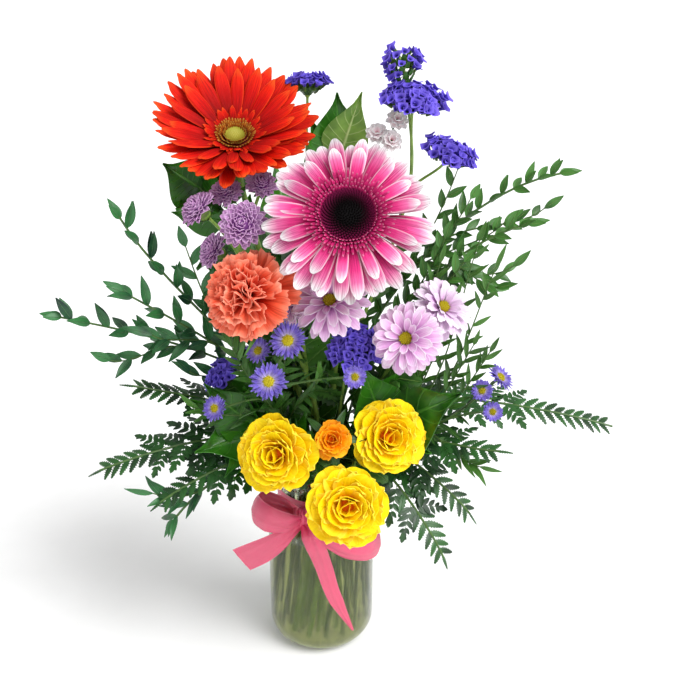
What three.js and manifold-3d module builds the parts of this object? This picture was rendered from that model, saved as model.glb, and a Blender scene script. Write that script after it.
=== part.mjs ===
// Gerberas in a vase: a mixed bouquet standing in a round glass jar with a ribbon tied at its neck.
// Millimetres, +Z up. The origin is the centre of the jar's foot; the bouquet's front faces -Y.

import * as THREE from "three";
import { mergeVertices } from "three/addons/utils/BufferGeometryUtils.js";
import Module from "manifold-3d";

const wasm = await Module();
wasm.setup();

// ---------------------------------------------------------------- driving dimensions

const GAP = 0.3; // clear space between two pieces that touch
const BLADE = 0.9; // thickness of a petal or leaf at its middle

const JAR = {
  sides: 20,
  radius: 40,
  foot: 24,
  heel: 16,
  wall: 3.2,
  straightTop: 104,
  neckRadius: 31,
  neckBottom: 117,
  neckTop: 136,
  lipRadius: 33.5,
  height: 145,
};
const WATER_LEVEL = 98;

const STEM_FOOT_Z = 11;
const NECK_Z = 140;
const BEND_STEPS = 5; // straight pieces in each bent stem
const NECK_TWIST = THREE.MathUtils.degToRad(38);
// Rings of stems in the neck, from the middle out: how many, and how far from the axis.
const NECK_RINGS = [
  { count: 1, radius: 0, footRadius: 0 },
  { count: 7, radius: 8.6, footRadius: 10.5 },
  { count: 11, radius: 15.6, footRadius: 18.5 },
  { count: 15, radius: 23, footRadius: 26.5 },
];

const RIBBON = { thick: 1, bandBottom: 118.5, bandHeight: 13 };

// A blade that meets a neighbour is bent by these angles, in turn, until it is clear.
const BENDS = [0, 14, -14, 28, -28].map(THREE.MathUtils.degToRad);

const COLOURS = {
  glass: "#a8ad86",
  water: "#9aa178",
  ribbon: "#e8607f",
  red: "#ee3a10",
  redEye: "#b9a63a",
  pink: "#ee6fa8",
  pinkEye: "#4a0f22",
  coral: "#e8644c",
  lilac: "#b583b4",
  lavender: "#d6b0dc",
  violet: "#4b3fb0",
  yellow: "#f6cf10",
  stem: "#5c7d35",
  rose: "#3f6a2c",
  salal: "#24561f",
  fern: "#1f4a22",
  gum: "#3c6b4c",
  aster: "#4d6f3c",
  filler: "#ecc9cf",
};

// ---------------------------------------------------------------- the planting plan

// Blooms: where the middle of each sits, where it faces, and its radius.
const BLOOMS = {
  gerbera_red: { at: [-52, -5, 393], faces: [0.07, -0.6, 0.8], radius: 54 },
  gerbera_pink: { at: [18.7, -75, 351], faces: [0, -0.81, 0.59], radius: 50 },
  carnation: { at: [-42.5, -82, 306], faces: [-0.4, -0.75, 0.5], radius: 27 },
  pompon_left: { at: [-73, -40, 347], faces: [-0.6, -0.4, 0.7], radius: 13 },
  pompon_front: { at: [-43, -63, 343], faces: [-0.1, -0.85, 0.5], radius: 15 },
  pompon_right: { at: [-35, -20, 358], faces: [0.2, -0.6, 0.75], radius: 11 },
  pompon_back: { at: [-57, -25, 354], faces: [-0.1, -0.6, 0.8], radius: 11 },
  pompon_low: { at: [-64.5, -45, 322], faces: [-0.7, -0.5, 0.5], radius: 12 },
  daisy_middle: { at: [8, -70, 298], faces: [-0.1, -0.65, 0.75], radius: 25 },
  daisy_left: { at: [-17, -42, 288], faces: [-0.4, -0.6, 0.7], radius: 17 },
  daisy_right: { at: [54, -74, 275], faces: [-0.3, -0.85, 0.42], radius: 23 },
  daisy_pale: { at: [81, -34, 281], faces: [0.4, -0.6, 0.69], radius: 22 },
  statice_top: { at: [53.6, 10, 434], faces: [-0.1, -0.2, 0.97], radius: 11 },
  statice_high: { at: [61, 0, 407], faces: [0.1, -0.45, 0.89], radius: 21 },
  statice_right: { at: [84, -5, 374], faces: [0.3, -0.4, 0.87], radius: 16 },
  statice_back: { at: [-7, 25, 414], faces: [0, 0.1, 0.99], radius: 12 },
  statice_middle: { at: [25, -55, 261], faces: [0, -0.8, 0.6], radius: 18 },
  rose_left: { at: [-25.6, -78, 198], faces: [-0.25, -0.9, 0.36], radius: 26 },
  rose_small: { at: [9.2, -80, 209], faces: [0, -0.85, 0.53], radius: 12.5 },
  rose_right: { at: [45, -62, 208], faces: [0.25, -0.85, 0.46], radius: 25 },
  rose_low: { at: [18.5, -95, 165], faces: [0.05, -0.97, 0.2], radius: 28 },
};

// How each gerbera's rays rise, in degrees from root to tip, its disc and its fringe of florets.
const GERBERA_FORMS = {
  red: { droop: [8, 12], disc: 9, fringe: 18 },
  pink: { droop: [4, -14], disc: 15, fringe: 26 },
};

// Small asters, grown on their own stems.
const ASTERS = {
  aster_left: [
    { at: [-16.6, -85, 278], faces: [-0.2, -0.8, 0.55], radius: 11.5 },
    { at: [-28, -95, 256], faces: [0, -0.9, 0.45], radius: 11 },
    { at: [-35.6, -72, 266], faces: [-0.4, -0.7, 0.6], radius: 8.5 },
    { at: [-63, -80, 231], faces: [-0.4, -0.8, 0.45], radius: 8 },
    { at: [23, -95, 259], faces: [0, -0.9, 0.4], radius: 7 },
  ],
  aster_right: [
    { at: [108.5, -40, 224], faces: [-0.2, -0.8, 0.55], radius: 7.5 },
    { at: [122, -30, 229], faces: [0.6, -0.3, 0.74], radius: 10 },
    { at: [115, -47, 212], faces: [0.1, -0.9, 0.4], radius: 7 },
  ],
};

// Stems: the point and heading where each ends or forks, its thickness, and how it curves.
const STEMS = {
  stem_gerbera_red: { bloom: "gerbera_red", radius: 2.6 },
  stem_gerbera_pink: { bloom: "gerbera_pink", radius: 2.6 },
  stem_carnation: { bloom: "carnation", radius: 1.9 },
  stem_pompon: { fork: [-48, -22, 305], heading: [-0.3, -0.2, 0.93], radius: 1.7 },
  stem_daisy_left: { fork: [-10, -34, 262], heading: [0, -0.3, 0.95], radius: 1.8 },
  stem_daisy_right: { fork: [52, -26, 245], heading: [0.3, -0.2, 0.93], radius: 1.8 },
  stem_statice_right: { fork: [60, 12, 345], heading: [0.2, 0, 0.98], radius: 1.5 },
  stem_statice_back: { fork: [-8, 27, 380], heading: [0, 0, 1], radius: 1.4 },
  stem_statice_middle: { fork: [18, -36, 235], heading: [0.1, -0.4, 0.91], radius: 1.4 },
  statice_left: { fork: [-63, -40, 236], heading: [-0.6, -0.3, 0.74], radius: 1.4 },
  aster_left: { fork: [-34, -56, 225], heading: [-0.3, -0.5, 0.81], radius: 1.1 },
  aster_right: { fork: [86, -32, 198], heading: [0.8, -0.2, 0.57], radius: 1.1 },
  stem_rose_left: { fork: [-12, -42, 176], heading: [-0.2, -0.6, 0.77], radius: 2 },
  stem_rose_right: { fork: [24, -40, 172], heading: [0.2, -0.6, 0.77], radius: 2 },
  fern_left: { fork: [-145, -60, 175], heading: [-0.9, -0.2, -0.3], radius: 1.1, rise: 52 },
  fern_left_high: { fork: [-126, -30, 223], heading: [-0.9, -0.1, 0.25], radius: 1.1 },
  fern_left_low: { fork: [-104, -70, 157], heading: [-0.8, -0.3, -0.5], radius: 1.1, rise: 52 },
  fern_right_low: { fork: [86, -60, 106], heading: [0.4, -0.2, -0.9], radius: 1.1, rise: 52 },
  fern_right: { fork: [106, -40, 128], heading: [0.6, -0.1, -0.8], radius: 1.1, rise: 52 },
  fern_right_high: { fork: [121.5, -50, 184], heading: [0.9, -0.2, 0.1], radius: 1.1, rise: 52 },
  fern_right_long: { fork: [205, -20, 187], heading: [0.95, 0, -0.3], radius: 1.1 },
  fern_back: { fork: [15, 120, 290], heading: [0.1, 0.8, 0.5], radius: 1.1 },
  eucalyptus_left_high: { fork: [-127, -20, 338], heading: [-0.45, 0, 0.9], radius: 1.1 },
  eucalyptus_left: { fork: [-128, -30, 291], heading: [-0.8, 0, 0.5], radius: 1.1 },
  eucalyptus_left_long: { fork: [-174, -20, 269], heading: [-0.9, 0, 0.2], radius: 1.1 },
  eucalyptus_left_low: { fork: [-100, -60, 134], heading: [-0.5, -0.2, -0.8], radius: 1.1, rise: 52 },
  eucalyptus_right: { fork: [162, 10, 359], heading: [0.95, 0, 0.15], radius: 1.1 },
  eucalyptus_right_low: { fork: [139, -10, 330], heading: [0.9, 0, 0.2], radius: 1.1 },
  salal_left_high: { fork: [-82, 12, 352], heading: [-0.6, -0.2, 0.75], radius: 1.5 },
  salal_top: { fork: [14, 18, 372], heading: [0.1, -0.1, 0.98], radius: 1.5 },
  salal_right: { fork: [44, -34, 194], heading: [0.6, -0.5, 0.6], radius: 1.5 },
  salal_left: { fork: [-48, -42, 198], heading: [-0.6, -0.6, 0.2], radius: 1.5 },
  salal_back: { fork: [-25, 85, 300], heading: [-0.2, 0.5, 0.84], radius: 1.5 },
  filler: { fork: [40, 4, 362], heading: [0.2, -0.1, 0.97], radius: 0.9 },
};

// Broad salal leaves: how far up the stem's bend each is rooted, where its tip is, its half width.
const BROAD_LEAVES = {
  salal_left: [
    { share: 0.72, tip: [-80, -66, 192], half: 17 },
    { share: 0.9, tip: [-76, -50, 240], half: 15 },
    { share: 0.5, tip: [-60, -62, 156], half: 11 },
    { share: 0.6, tip: [-96, -28, 214], half: 15 },
    { share: 0.97, tip: [-42, -34, 248], half: 15 },
  ],
  salal_right: [
    { share: 0.8, tip: [92, -38, 232], half: 19 },
    { share: 0.62, tip: [74, -60, 188], half: 16 },
    { share: 0.97, tip: [22, -44, 250], half: 16 },
    { share: 0.9, tip: [66, -30, 246], half: 17 },
  ],
  salal_left_high: [
    { share: 0.97, tip: [-100, 0, 367], half: 15 },
    { share: 0.9, tip: [-92, -8, 338], half: 15 },
    { share: 0.94, tip: [-42, 30, 356], half: 15 },
    { share: 0.74, tip: [-80, -14, 300], half: 15 },
    { share: 0.6, tip: [-72, 6, 258], half: 16 },
  ],
  salal_top: [
    { share: 0.97, tip: [28, 5, 411], half: 12 },
    { share: 0.96, tip: [12, 20, 409], half: 15 },
    { share: 0.88, tip: [-8, 24, 392], half: 15 },
    { share: 0.76, tip: [48, 8, 350], half: 15 },
    { share: 0.56, tip: [-8, -18, 300], half: 17 },
  ],
  salal_back: [
    { share: 0.97, tip: [-36, 108, 348], half: 15 },
    { share: 0.9, tip: [-74, 92, 318], half: 16 },
    { share: 0.84, tip: [26, 102, 322], half: 16 },
    { share: 0.7, tip: [-64, 84, 256], half: 17 },
    { share: 0.6, tip: [30, 88, 248], half: 17 },
    { share: 0.42, tip: [-6, 96, 206], half: 16 },
  ],
};

// Which blooms a forked stem carries.
const CARRIES = {
  stem_pompon: ["pompon_left", "pompon_front", "pompon_right", "pompon_back", "pompon_low"],
  stem_daisy_left: ["daisy_middle", "daisy_left"],
  stem_daisy_right: ["daisy_right", "daisy_pale"],
  stem_statice_right: ["statice_top", "statice_high", "statice_right"],
  stem_statice_back: ["statice_back"],
  stem_statice_middle: ["statice_middle"],
  stem_rose_left: ["rose_left", "rose_small"],
  stem_rose_right: ["rose_right", "rose_low"],
};

// ---------------------------------------------------------------- helpers

const UP = new THREE.Vector3(0, 0, 1);

function point([x, y, z]) {
  return new THREE.Vector3(x, y, z);
}

function along(start, direction, distance) {
  return start.clone().addScaledVector(direction, distance);
}

// The same steady pseudo-random number, 0 to 1, for the same two whole numbers.
function chance(index, salt) {
  const wave = Math.sin(index * 12.9898 + salt * 78.233) * 43758.5453;
  return wave - Math.floor(wave);
}

function spread(index, salt, amount) {
  return (chance(index, salt) - 0.5) * 2 * amount;
}

// A closed body through rings of points: a ring is one point, or as many as its neighbours have.
function loft(rings) {
  const vertices = rings.flat();
  const starts = [];
  let total = 0;
  for (const ring of rings) {
    starts.push(total);
    total += ring.length;
  }
  const triangles = [];
  for (let r = 0; r + 1 < rings.length; r += 1) {
    const here = rings[r].length;
    const next = rings[r + 1].length;
    const sides = Math.max(here, next);
    for (let k = 0; k < sides; k += 1) {
      const j = (k + 1) % sides;
      const a = starts[r] + (here === 1 ? 0 : k);
      const b = starts[r] + (here === 1 ? 0 : j);
      const c = starts[r + 1] + (next === 1 ? 0 : j);
      const d = starts[r + 1] + (next === 1 ? 0 : k);
      if (here === 1) {
        triangles.push(a, c, d);
      } else if (next === 1) {
        triangles.push(a, b, c);
      } else {
        triangles.push(a, b, c, a, c, d);
      }
    }
  }
  closeEnd(triangles, starts[0], rings[0].length, true);
  closeEnd(triangles, starts[rings.length - 1], rings[rings.length - 1].length, false);
  const positions = vertices.flatMap((v) => [v.x, v.y, v.z]);
  const geometry = new THREE.BufferGeometry();
  geometry.setAttribute("position", new THREE.Float32BufferAttribute(positions, 3));
  geometry.setIndex(volume(vertices, triangles) < 0 ? triangles.reverse() : triangles);
  return geometry;
}

function closeEnd(triangles, start, count, reversed) {
  for (let k = 1; k + 1 < count; k += 1) {
    const fan = [start, start + k, start + k + 1];
    triangles.push(...(reversed ? fan.reverse() : fan));
  }
}

function volume(vertices, triangles) {
  let sum = 0;
  for (let i = 0; i < triangles.length; i += 3) {
    const [a, b, c] = [0, 1, 2].map((k) => vertices[triangles[i + k]]);
    sum += a.dot(new THREE.Vector3().crossVectors(b, c));
  }
  return sum;
}

// A petal, leaf or leaflet. Its middle line leaves the root heading out, rises by an angle that
// changes evenly along it, and its cross-section is a low triangle with sharp edges. A fold above 0
// lifts both edges over a keel, and one below 0 lowers them from a ridge. A half width of 0 makes a
// point; room makes the swollen copy that tests for space.
function blade({ root, out, up = UP, length, rise, at, half, fold = 0, twist = 0 }, bend, room) {
  const side = new THREE.Vector3().crossVectors(out, up).normalize();
  const lift = new THREE.Vector3().crossVectors(side, out).normalize();
  const rings = [];
  let place = root.clone();
  let travelled = 0;
  at.forEach((fraction, index) => {
    const middle = (travelled + fraction) / 2;
    const angle = rise[0] + (rise[1] - rise[0]) * middle + bend * Math.min(1, 2 * middle + 0.3);
    const step = (fraction - travelled) * length;
    place = along(along(place, out, step * Math.cos(angle)), lift, step * Math.sin(angle));
    travelled = fraction;
    if (half[index] === 0) {
      rings.push([place]);
      return;
    }
    const now = rise[0] + (rise[1] - rise[0]) * fraction + bend;
    const face = along(lift.clone().multiplyScalar(Math.cos(now)), out, -Math.sin(now));
    const turned = side.clone().applyAxisAngle(out, twist * fraction);
    const width = half[index] + room;
    const lean = fold * half[index];
    const edge = fold > 0 ? BLADE + lean + room : lean - room;
    const middleLine = fold > 0 ? -room : BLADE + room;
    rings.push([
      along(along(place, turned, width), face, edge),
      along(place, face, middleLine),
      along(along(place, turned, -width), face, edge),
    ]);
  });
  return loft(rings);
}

function solid(geometry) {
  const bare = new THREE.BufferGeometry();
  bare.setAttribute("position", geometry.getAttribute("position"));
  bare.setIndex(geometry.index);
  const merged = mergeVertices(bare, 1e-4);
  const corners = merged.index.array;
  const triangles = [];
  for (let i = 0; i < corners.length; i += 3) {
    const [a, b, c] = corners.slice(i, i + 3);
    if (a !== b && b !== c && c !== a) {
      triangles.push(a, b, c);
    }
  }
  return new wasm.Manifold(
    new wasm.Mesh({
      numProp: 3,
      vertProperties: Float32Array.from(merged.getAttribute("position").array),
      triVerts: Uint32Array.from(triangles),
    }),
  );
}

function geometryOf(body) {
  const mesh = body.getMesh();
  const geometry = new THREE.BufferGeometry();
  geometry.setAttribute("position", new THREE.Float32BufferAttribute(mesh.vertProperties, 3));
  geometry.setIndex(Array.from(mesh.triVerts));
  geometry.computeVertexNormals();
  return geometry;
}

// Joins closed geometries into one body. A loose scrap or a sealed hollow is left out.
function fuse(geometries) {
  const joined = wasm.Manifold.union(geometries.map(solid)).simplify(0.04);
  const bodies = joined.decompose();
  return bodies.reduce((largest, body) => (body.volume() > largest.volume() ? body : largest));
}

// Bodies that stand already, so that what grows later keeps clear of them.
const standing = [];

function stand(owner, body) {
  standing.push({ owner, body, box: body.boundingBox() });
}

function boxesMeet(a, b) {
  return [0, 1, 2].every((k) => a.min[k] <= b.max[k] && b.min[k] <= a.max[k]);
}

function isFree(owner, geometry) {
  const body = solid(geometry);
  const box = body.boundingBox();
  return standing.every(
    (other) =>
      other.owner === owner ||
      !boxesMeet(box, other.box) ||
      body.intersect(other.body).isEmpty(),
  );
}

// Makes a blade straight if it has room, else bent clear; a blade with no room isn't grown.
function grow(owner, shape, place = new THREE.Matrix4()) {
  for (const bend of BENDS) {
    if (isFree(owner, blade(shape, bend, GAP).applyMatrix4(place))) {
      return [blade(shape, bend, 0)];
    }
  }
  return [];
}

const bouquet = new THREE.Group();
bouquet.name = "gerberas_in_a_vase";

function addMesh(name, geometry, colour, roughness = 0.6, place = new THREE.Matrix4()) {
  const material = new THREE.MeshStandardMaterial({ color: colour, roughness, metalness: 0 });
  const mesh = new THREE.Mesh(geometry, material);
  mesh.name = name;
  mesh.applyMatrix4(place);
  bouquet.add(mesh);
  return mesh;
}

// ---------------------------------------------------------------- jar, water, ribbon

function arc(centreX, centreY, radius, fromDegrees, toDegrees, steps) {
  return Array.from({ length: steps + 1 }, (_, k) => {
    const angle = THREE.MathUtils.degToRad(fromDegrees + ((toDegrees - fromDegrees) * k) / steps);
    return new THREE.Vector2(centreX + radius * Math.cos(angle), centreY + radius * Math.sin(angle));
  });
}

function turned(profile) {
  return new THREE.LatheGeometry(profile, JAR.sides).rotateX(Math.PI / 2);
}

// The profile runs from the middle of the foot up the outside, over the lip and down the inside.
function jarGeometry() {
  const { radius, foot, heel, wall, straightTop, neckRadius, neckBottom, neckTop } = JAR;
  const bore = neckRadius - wall - 0.3;
  return turned([
    new THREE.Vector2(0, 0),
    ...arc(foot, heel, heel, -90, 0, 3),
    new THREE.Vector2(radius, straightTop),
    new THREE.Vector2(radius - 2.6, straightTop + 6.5),
    new THREE.Vector2(neckRadius, neckBottom),
    new THREE.Vector2(neckRadius, neckTop),
    new THREE.Vector2(JAR.lipRadius, neckTop + 3),
    new THREE.Vector2(JAR.lipRadius, JAR.height - 2.5),
    new THREE.Vector2(JAR.lipRadius - 2, JAR.height),
    new THREE.Vector2(bore + 1.2, JAR.height),
    new THREE.Vector2(bore, JAR.height - 2.5),
    new THREE.Vector2(bore, neckBottom),
    new THREE.Vector2(radius - wall - 2, straightTop + 4.5),
    new THREE.Vector2(radius - wall, straightTop - 1),
    ...arc(foot, heel, heel - wall, 0, -90, 2),
    new THREE.Vector2(0, wall),
  ]);
}

// The water fills the jar to its level; each stem stands in a plain hole in it.
function waterBody(stems) {
  const { radius, foot, heel, wall } = JAR;
  const fill = turned([
    new THREE.Vector2(0, wall + GAP),
    ...arc(foot, heel, heel - wall - GAP, -90, 0, 2),
    new THREE.Vector2(radius - wall - GAP, WATER_LEVEL),
    new THREE.Vector2(0, WATER_LEVEL),
  ]);
  const holes = Object.values(stems).map((stem) => {
    const heading = stem.neck.clone().sub(stem.foot).normalize();
    const hole = new THREE.LineCurve3(along(stem.foot, heading, -GAP), stem.neck);
    return solid(tube(hole, stem.radius + GAP * 1.6, stem.sides, 1));
  });
  return solid(fill).subtract(wasm.Manifold.union(holes)).simplify(0.005);
}

// A flat strip of ribbon through points, each with the direction of its width and its half width.
function strip(stations) {
  const rings = stations.map(({ at, across, half }, index) => {
    const before = stations[Math.max(index - 1, 0)].at;
    const after = stations[Math.min(index + 1, stations.length - 1)].at;
    const heading = after.clone().sub(before).normalize();
    const side = across.clone().normalize();
    const face = new THREE.Vector3().crossVectors(heading, side).normalize();
    const corners = [
      [1, 1],
      [-1, 1],
      [-1, -1],
      [1, -1],
    ];
    return corners.map(([s, f]) =>
      along(along(at, side, s * half), face, (f * RIBBON.thick) / 2),
    );
  });
  return loft(rings);
}

// One curved strip: its middle points by hand, its width opening from the gathered end.
function tail(points, across, halves) {
  const path = new THREE.CatmullRomCurve3(points.map(point));
  const steps = halves.length - 1;
  const stations = halves.map((half, k) => ({ at: path.getPoint(k / steps), across, half }));
  return strip(stations);
}

function ribbonGeometry() {
  const { bandBottom, bandHeight, thick } = RIBBON;
  const inner = JAR.neckRadius + GAP;
  const band = turned([
    new THREE.Vector2(inner, bandBottom),
    new THREE.Vector2(inner + thick, bandBottom),
    new THREE.Vector2(inner + thick, bandBottom + bandHeight),
    new THREE.Vector2(inner, bandBottom + bandHeight),
    new THREE.Vector2(inner, bandBottom),
  ]);
  const knot = new THREE.SphereGeometry(1, 6, 4).scale(7, 6.4, 7.5).translate(-11, -36.4, 123);
  const leftLoop = tail(
    [
      [-14, -41, 123],
      [-26, -51, 121],
      [-40, -51, 125],
      [-48, -43, 129],
      [-43, -34, 133],
      [-28, -34, 131],
      [-14, -38, 125],
    ],
    new THREE.Vector3(0.25, -0.15, 0.95),
    [4, 9, 11, 11, 11, 9, 4],
  );
  const rightLoop = tail(
    [
      [-9, -41, 121],
      [4, -50, 116],
      [20, -51, 110],
      [36, -46, 107],
      [43, -36, 108],
      [36, -31, 113],
      [18, -38, 120],
      [-8, -38, 123],
    ],
    new THREE.Vector3(-0.1, -0.1, 0.98),
    [4, 8, 10, 11, 11, 9, 6, 4],
  );
  const leftTail = tail(
    [
      [-13, -41, 119],
      [-30, -46, 110],
      [-56, -46, 92],
    ],
    new THREE.Vector3(-0.2, -0.1, 0.97),
    [4, 9, 12, 13.5],
  );
  const centreTail = tail(
    [
      [-11, -42, 119],
      [-4, -49, 104],
      [3, -45, 84],
      [10, -43, 55],
      [25, -36, 24],
    ],
    new THREE.Vector3(0.95, 0.1, 0.3),
    [4, 8, 8.5, 8.5, 8.5, 7.5, 1],
  );
  return fuse([band, knot, leftLoop, rightLoop, leftTail, centreTail]);
}

// ---------------------------------------------------------------- stems

// A stem stands straight in the jar, then bends along a smooth curve to its end.
class StemPath extends THREE.Curve {
  constructor(foot, neck, bend, footShare) {
    super();
    this.foot = foot;
    this.neck = neck;
    this.bend = bend;
    this.footShare = footShare;
  }

  getPoint(t, target = new THREE.Vector3()) {
    if (t < this.footShare) {
      return target.lerpVectors(this.foot, this.neck, t / this.footShare);
    }
    return this.bend.getPoint((t - this.footShare) / (1 - this.footShare), target);
  }

  getUtoTmapping(u) {
    return u;
  }
}

// A round bar along a path, with flat ends.
function tube(path, radius, sides, steps) {
  const corners = Array.from({ length: sides }, (_, k) => {
    const angle = (2 * Math.PI * k) / sides;
    return new THREE.Vector2(radius * Math.cos(angle), radius * Math.sin(angle));
  });
  return new THREE.ExtrudeGeometry(new THREE.Shape(corners), {
    steps,
    extrudePath: path,
    bevelEnabled: false,
  });
}

// How far behind the middle of its bloom each kind of stem ends.
function backOf(name) {
  const kinds = { gerbera: 4, carnation: 12.9, pompon: 6, daisy: 3.4, statice: 3.4, rose: 7.8 };
  const scale = { pompon: 11, rose: 26 };
  const kind = name.split("_")[0];
  const size = scale[kind] ? BLOOMS[name].radius / scale[kind] : 1;
  return kinds[kind] * size + GAP;
}

function endOf(plan) {
  if (plan.bloom) {
    const bloom = BLOOMS[plan.bloom];
    const heading = point(bloom.faces).normalize();
    return { end: along(point(bloom.at), heading, -backOf(plan.bloom)), heading };
  }
  return { end: point(plan.fork), heading: point(plan.heading).normalize() };
}

// Stems stand in rings in the neck: those that lean most are outermost, and round each ring they
// keep the order of their directions, so that no two cross.
function neckPlaces() {
  const leaning = Object.entries(STEMS).map(([name, plan]) => {
    const { end } = endOf(plan);
    const reach = Math.hypot(end.x, end.y);
    return { name, azimuth: Math.atan2(end.y, end.x), lean: Math.atan2(reach, end.z - NECK_Z) };
  });
  leaning.sort((a, b) => a.lean - b.lean);
  const places = {};
  let used = 0;
  for (const ring of NECK_RINGS) {
    const members = leaning.slice(used, used + ring.count);
    used += ring.count;
    members.sort((a, b) => a.azimuth - b.azimuth);
    const pitch = (2 * Math.PI) / members.length;
    const offsets = members.map((member, k) => member.azimuth - k * pitch);
    const start = offsets.reduce((sum, value) => sum + value, 0) / members.length;
    members.forEach((member, k) => {
      const angle = start + k * pitch;
      places[member.name] = { angle, ring };
    });
  }
  return places;
}

function onCircle(radius, angle, z) {
  return new THREE.Vector3(radius * Math.cos(angle), radius * Math.sin(angle), z);
}

function planStems() {
  const places = neckPlaces();
  const stems = {};
  Object.entries(STEMS).forEach(([name, plan], index) => {
    const { angle, ring } = places[name];
    const foot = onCircle(ring.footRadius, angle - NECK_TWIST, STEM_FOOT_Z + 5 * chance(index, 1));
    const neck = onCircle(ring.radius, angle, NECK_Z);
    const { end, heading } = endOf(plan);
    const reach = neck.distanceTo(end);
    const rising = neck.clone().sub(foot).normalize();
    const bend = new THREE.CubicBezierCurve3(
      neck,
      along(neck, rising, Math.max(reach * 0.36, plan.rise ?? 30)),
      along(end, heading, -reach * 0.3),
      end,
    );
    const sides = plan.radius > 2.4 ? 5 : plan.radius > 1.3 ? 4 : 3;
    const path = new StemPath(foot, neck, bend, 1 / (BEND_STEPS + 1));
    const knots = bend.getPoints(BEND_STEPS);
    const length = bend.getLength();
    const { radius } = plan;
    stems[name] = { name, foot, neck, bend, path, knots, length, end, heading, radius, sides };
  });
  return stems;
}

// A side branch leaves the fork along the stem's heading and arrives along the bloom's axis. Each
// is rooted a little further down the stem than the one before.
function branch(stem, order, end, heading) {
  const reach = stem.end.distanceTo(end);
  const start = along(stem.end, stem.heading, -stem.radius - 0.7 * order);
  return new THREE.CubicBezierCurve3(
    start,
    along(start, stem.heading, reach * 0.35),
    along(end, heading, -reach * 0.35),
    end,
  );
}

// The bare stem of a plant with its side branches, and the cup under each bloom.
function skeleton(stem) {
  const parts = [tube(stem.path, stem.radius, stem.sides, BEND_STEPS + 1)];
  (CARRIES[stem.name] ?? []).forEach((name, order) => {
    const bloom = BLOOMS[name];
    const heading = point(bloom.faces).normalize();
    const end = along(point(bloom.at), heading, -backOf(name));
    parts.push(tube(branch(stem, order, end, heading), stem.radius * 0.72, 3, 2));
    parts.push(cup(name, end, heading));
  });
  const plan = STEMS[stem.name];
  if (plan.bloom) {
    parts.push(cup(plan.bloom, stem.end, stem.heading));
  }
  return parts;
}

// Green cup of bracts or sepals: an upturned cone whose flat top meets the bloom's back.
function cup(name, end, heading) {
  const shapes = {
    gerbera: { top: 11, length: 9, sides: 8 },
    carnation: { top: 5.5, length: 18, sides: 6 },
    pompon: { top: 4, length: 3.5, sides: 3 },
    daisy: { top: 5, length: 4, sides: 5 },
    statice: { top: 3.2, length: 5, sides: 4 },
    rose: { top: 7, length: 7, sides: 5 },
  };
  const { top, length, sides } = shapes[name.split("_")[0]];
  const cone = new THREE.CylinderGeometry(top, 1, length, sides).rotateX(Math.PI / 2);
  cone.translate(0, 0, -length / 2);
  return cone.applyMatrix4(placed(end, heading));
}

function placed(at, faces) {
  const turn = new THREE.Quaternion().setFromUnitVectors(UP, faces);
  return new THREE.Matrix4().compose(at, turn, new THREE.Vector3(1, 1, 1));
}

// ---------------------------------------------------------------- blooms, facing +Z

// A ring of equal petals round the axis. Every value may vary a little from petal to petal.
function petalRing(owner, place, ring, salt) {
  const petals = [];
  for (let k = 0; k < ring.count; k += 1) {
    const angle = (2 * Math.PI * (k + (ring.phase ?? 0) + spread(k, salt, 0.12))) / ring.count;
    const out = new THREE.Vector3(Math.cos(angle), Math.sin(angle), 0);
    const root = along(new THREE.Vector3(0, 0, ring.z), out, ring.root);
    const shape = {
      ...ring,
      root,
      out,
      length: ring.length * (1 + spread(k, salt + 1, 0.06)),
      rise: ring.rise.map((value) => THREE.MathUtils.degToRad(value + spread(k, salt + 2, 3))),
      twist: THREE.MathUtils.degToRad(spread(k, salt + 3, ring.turn ?? 8)),
    };
    petals.push(...grow(owner, shape, place));
  }
  return petals;
}

function petalRings(owner, place, petal, rings, salt) {
  return rings.flatMap((ring, k) =>
    petalRing(owner, place, { ...petal, ...ring }, salt + k * 7),
  );
}

function hub(radius, bottom, top, sides) {
  const disc = new THREE.CylinderGeometry(radius, radius, top - bottom, sides);
  return disc.rotateX(Math.PI / 2).translate(0, 0, (top + bottom) / 2);
}

function dome(radius, bottom, height, sides) {
  const profile = [
    new THREE.Vector2(0, bottom),
    new THREE.Vector2(radius, bottom),
    new THREE.Vector2(radius * 0.94, bottom + height * 0.55),
    new THREE.Vector2(radius * 0.6, bottom + height),
    new THREE.Vector2(0, bottom + height * 0.9),
  ];
  return new THREE.LatheGeometry(profile, sides).rotateX(Math.PI / 2);
}

function gerberaRays(owner, place, { radius, droop, disc }, salt) {
  const ray = { at: [0, 0.3, 0.86, 1], half: [0, 3.4, 4.4, 0], fold: -0.12, root: 9 };
  return [
    hub(disc + 3, -3.7, 0, 9),
    ...petalRing(owner, place, { ...ray, count: 20, z: -2.8, length: radius - 9, rise: droop }, salt),
    ...petalRing(
      owner,
      place,
      {
        ...ray,
        half: [0, 2.8, 3.6, 0],
        count: 11,
        phase: 0.4,
        z: -1.4,
        length: (radius - 9) * 0.82,
        rise: droop.map((value) => value + 8),
      },
      salt + 10,
    ),
  ];
}

function gerberaEye(owner, place, { disc, fringe }, salt) {
  const root = disc - 4;
  const floret = { at: [0, 0.6, 1], half: [0, fringe * 0.075, 0], root, z: 1.6, rise: [38, 8] };
  return [
    dome(disc, GAP, 3.4, 9),
    ...petalRing(owner, place, { ...floret, length: fringe - root, count: 14 }, salt),
  ];
}

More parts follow.
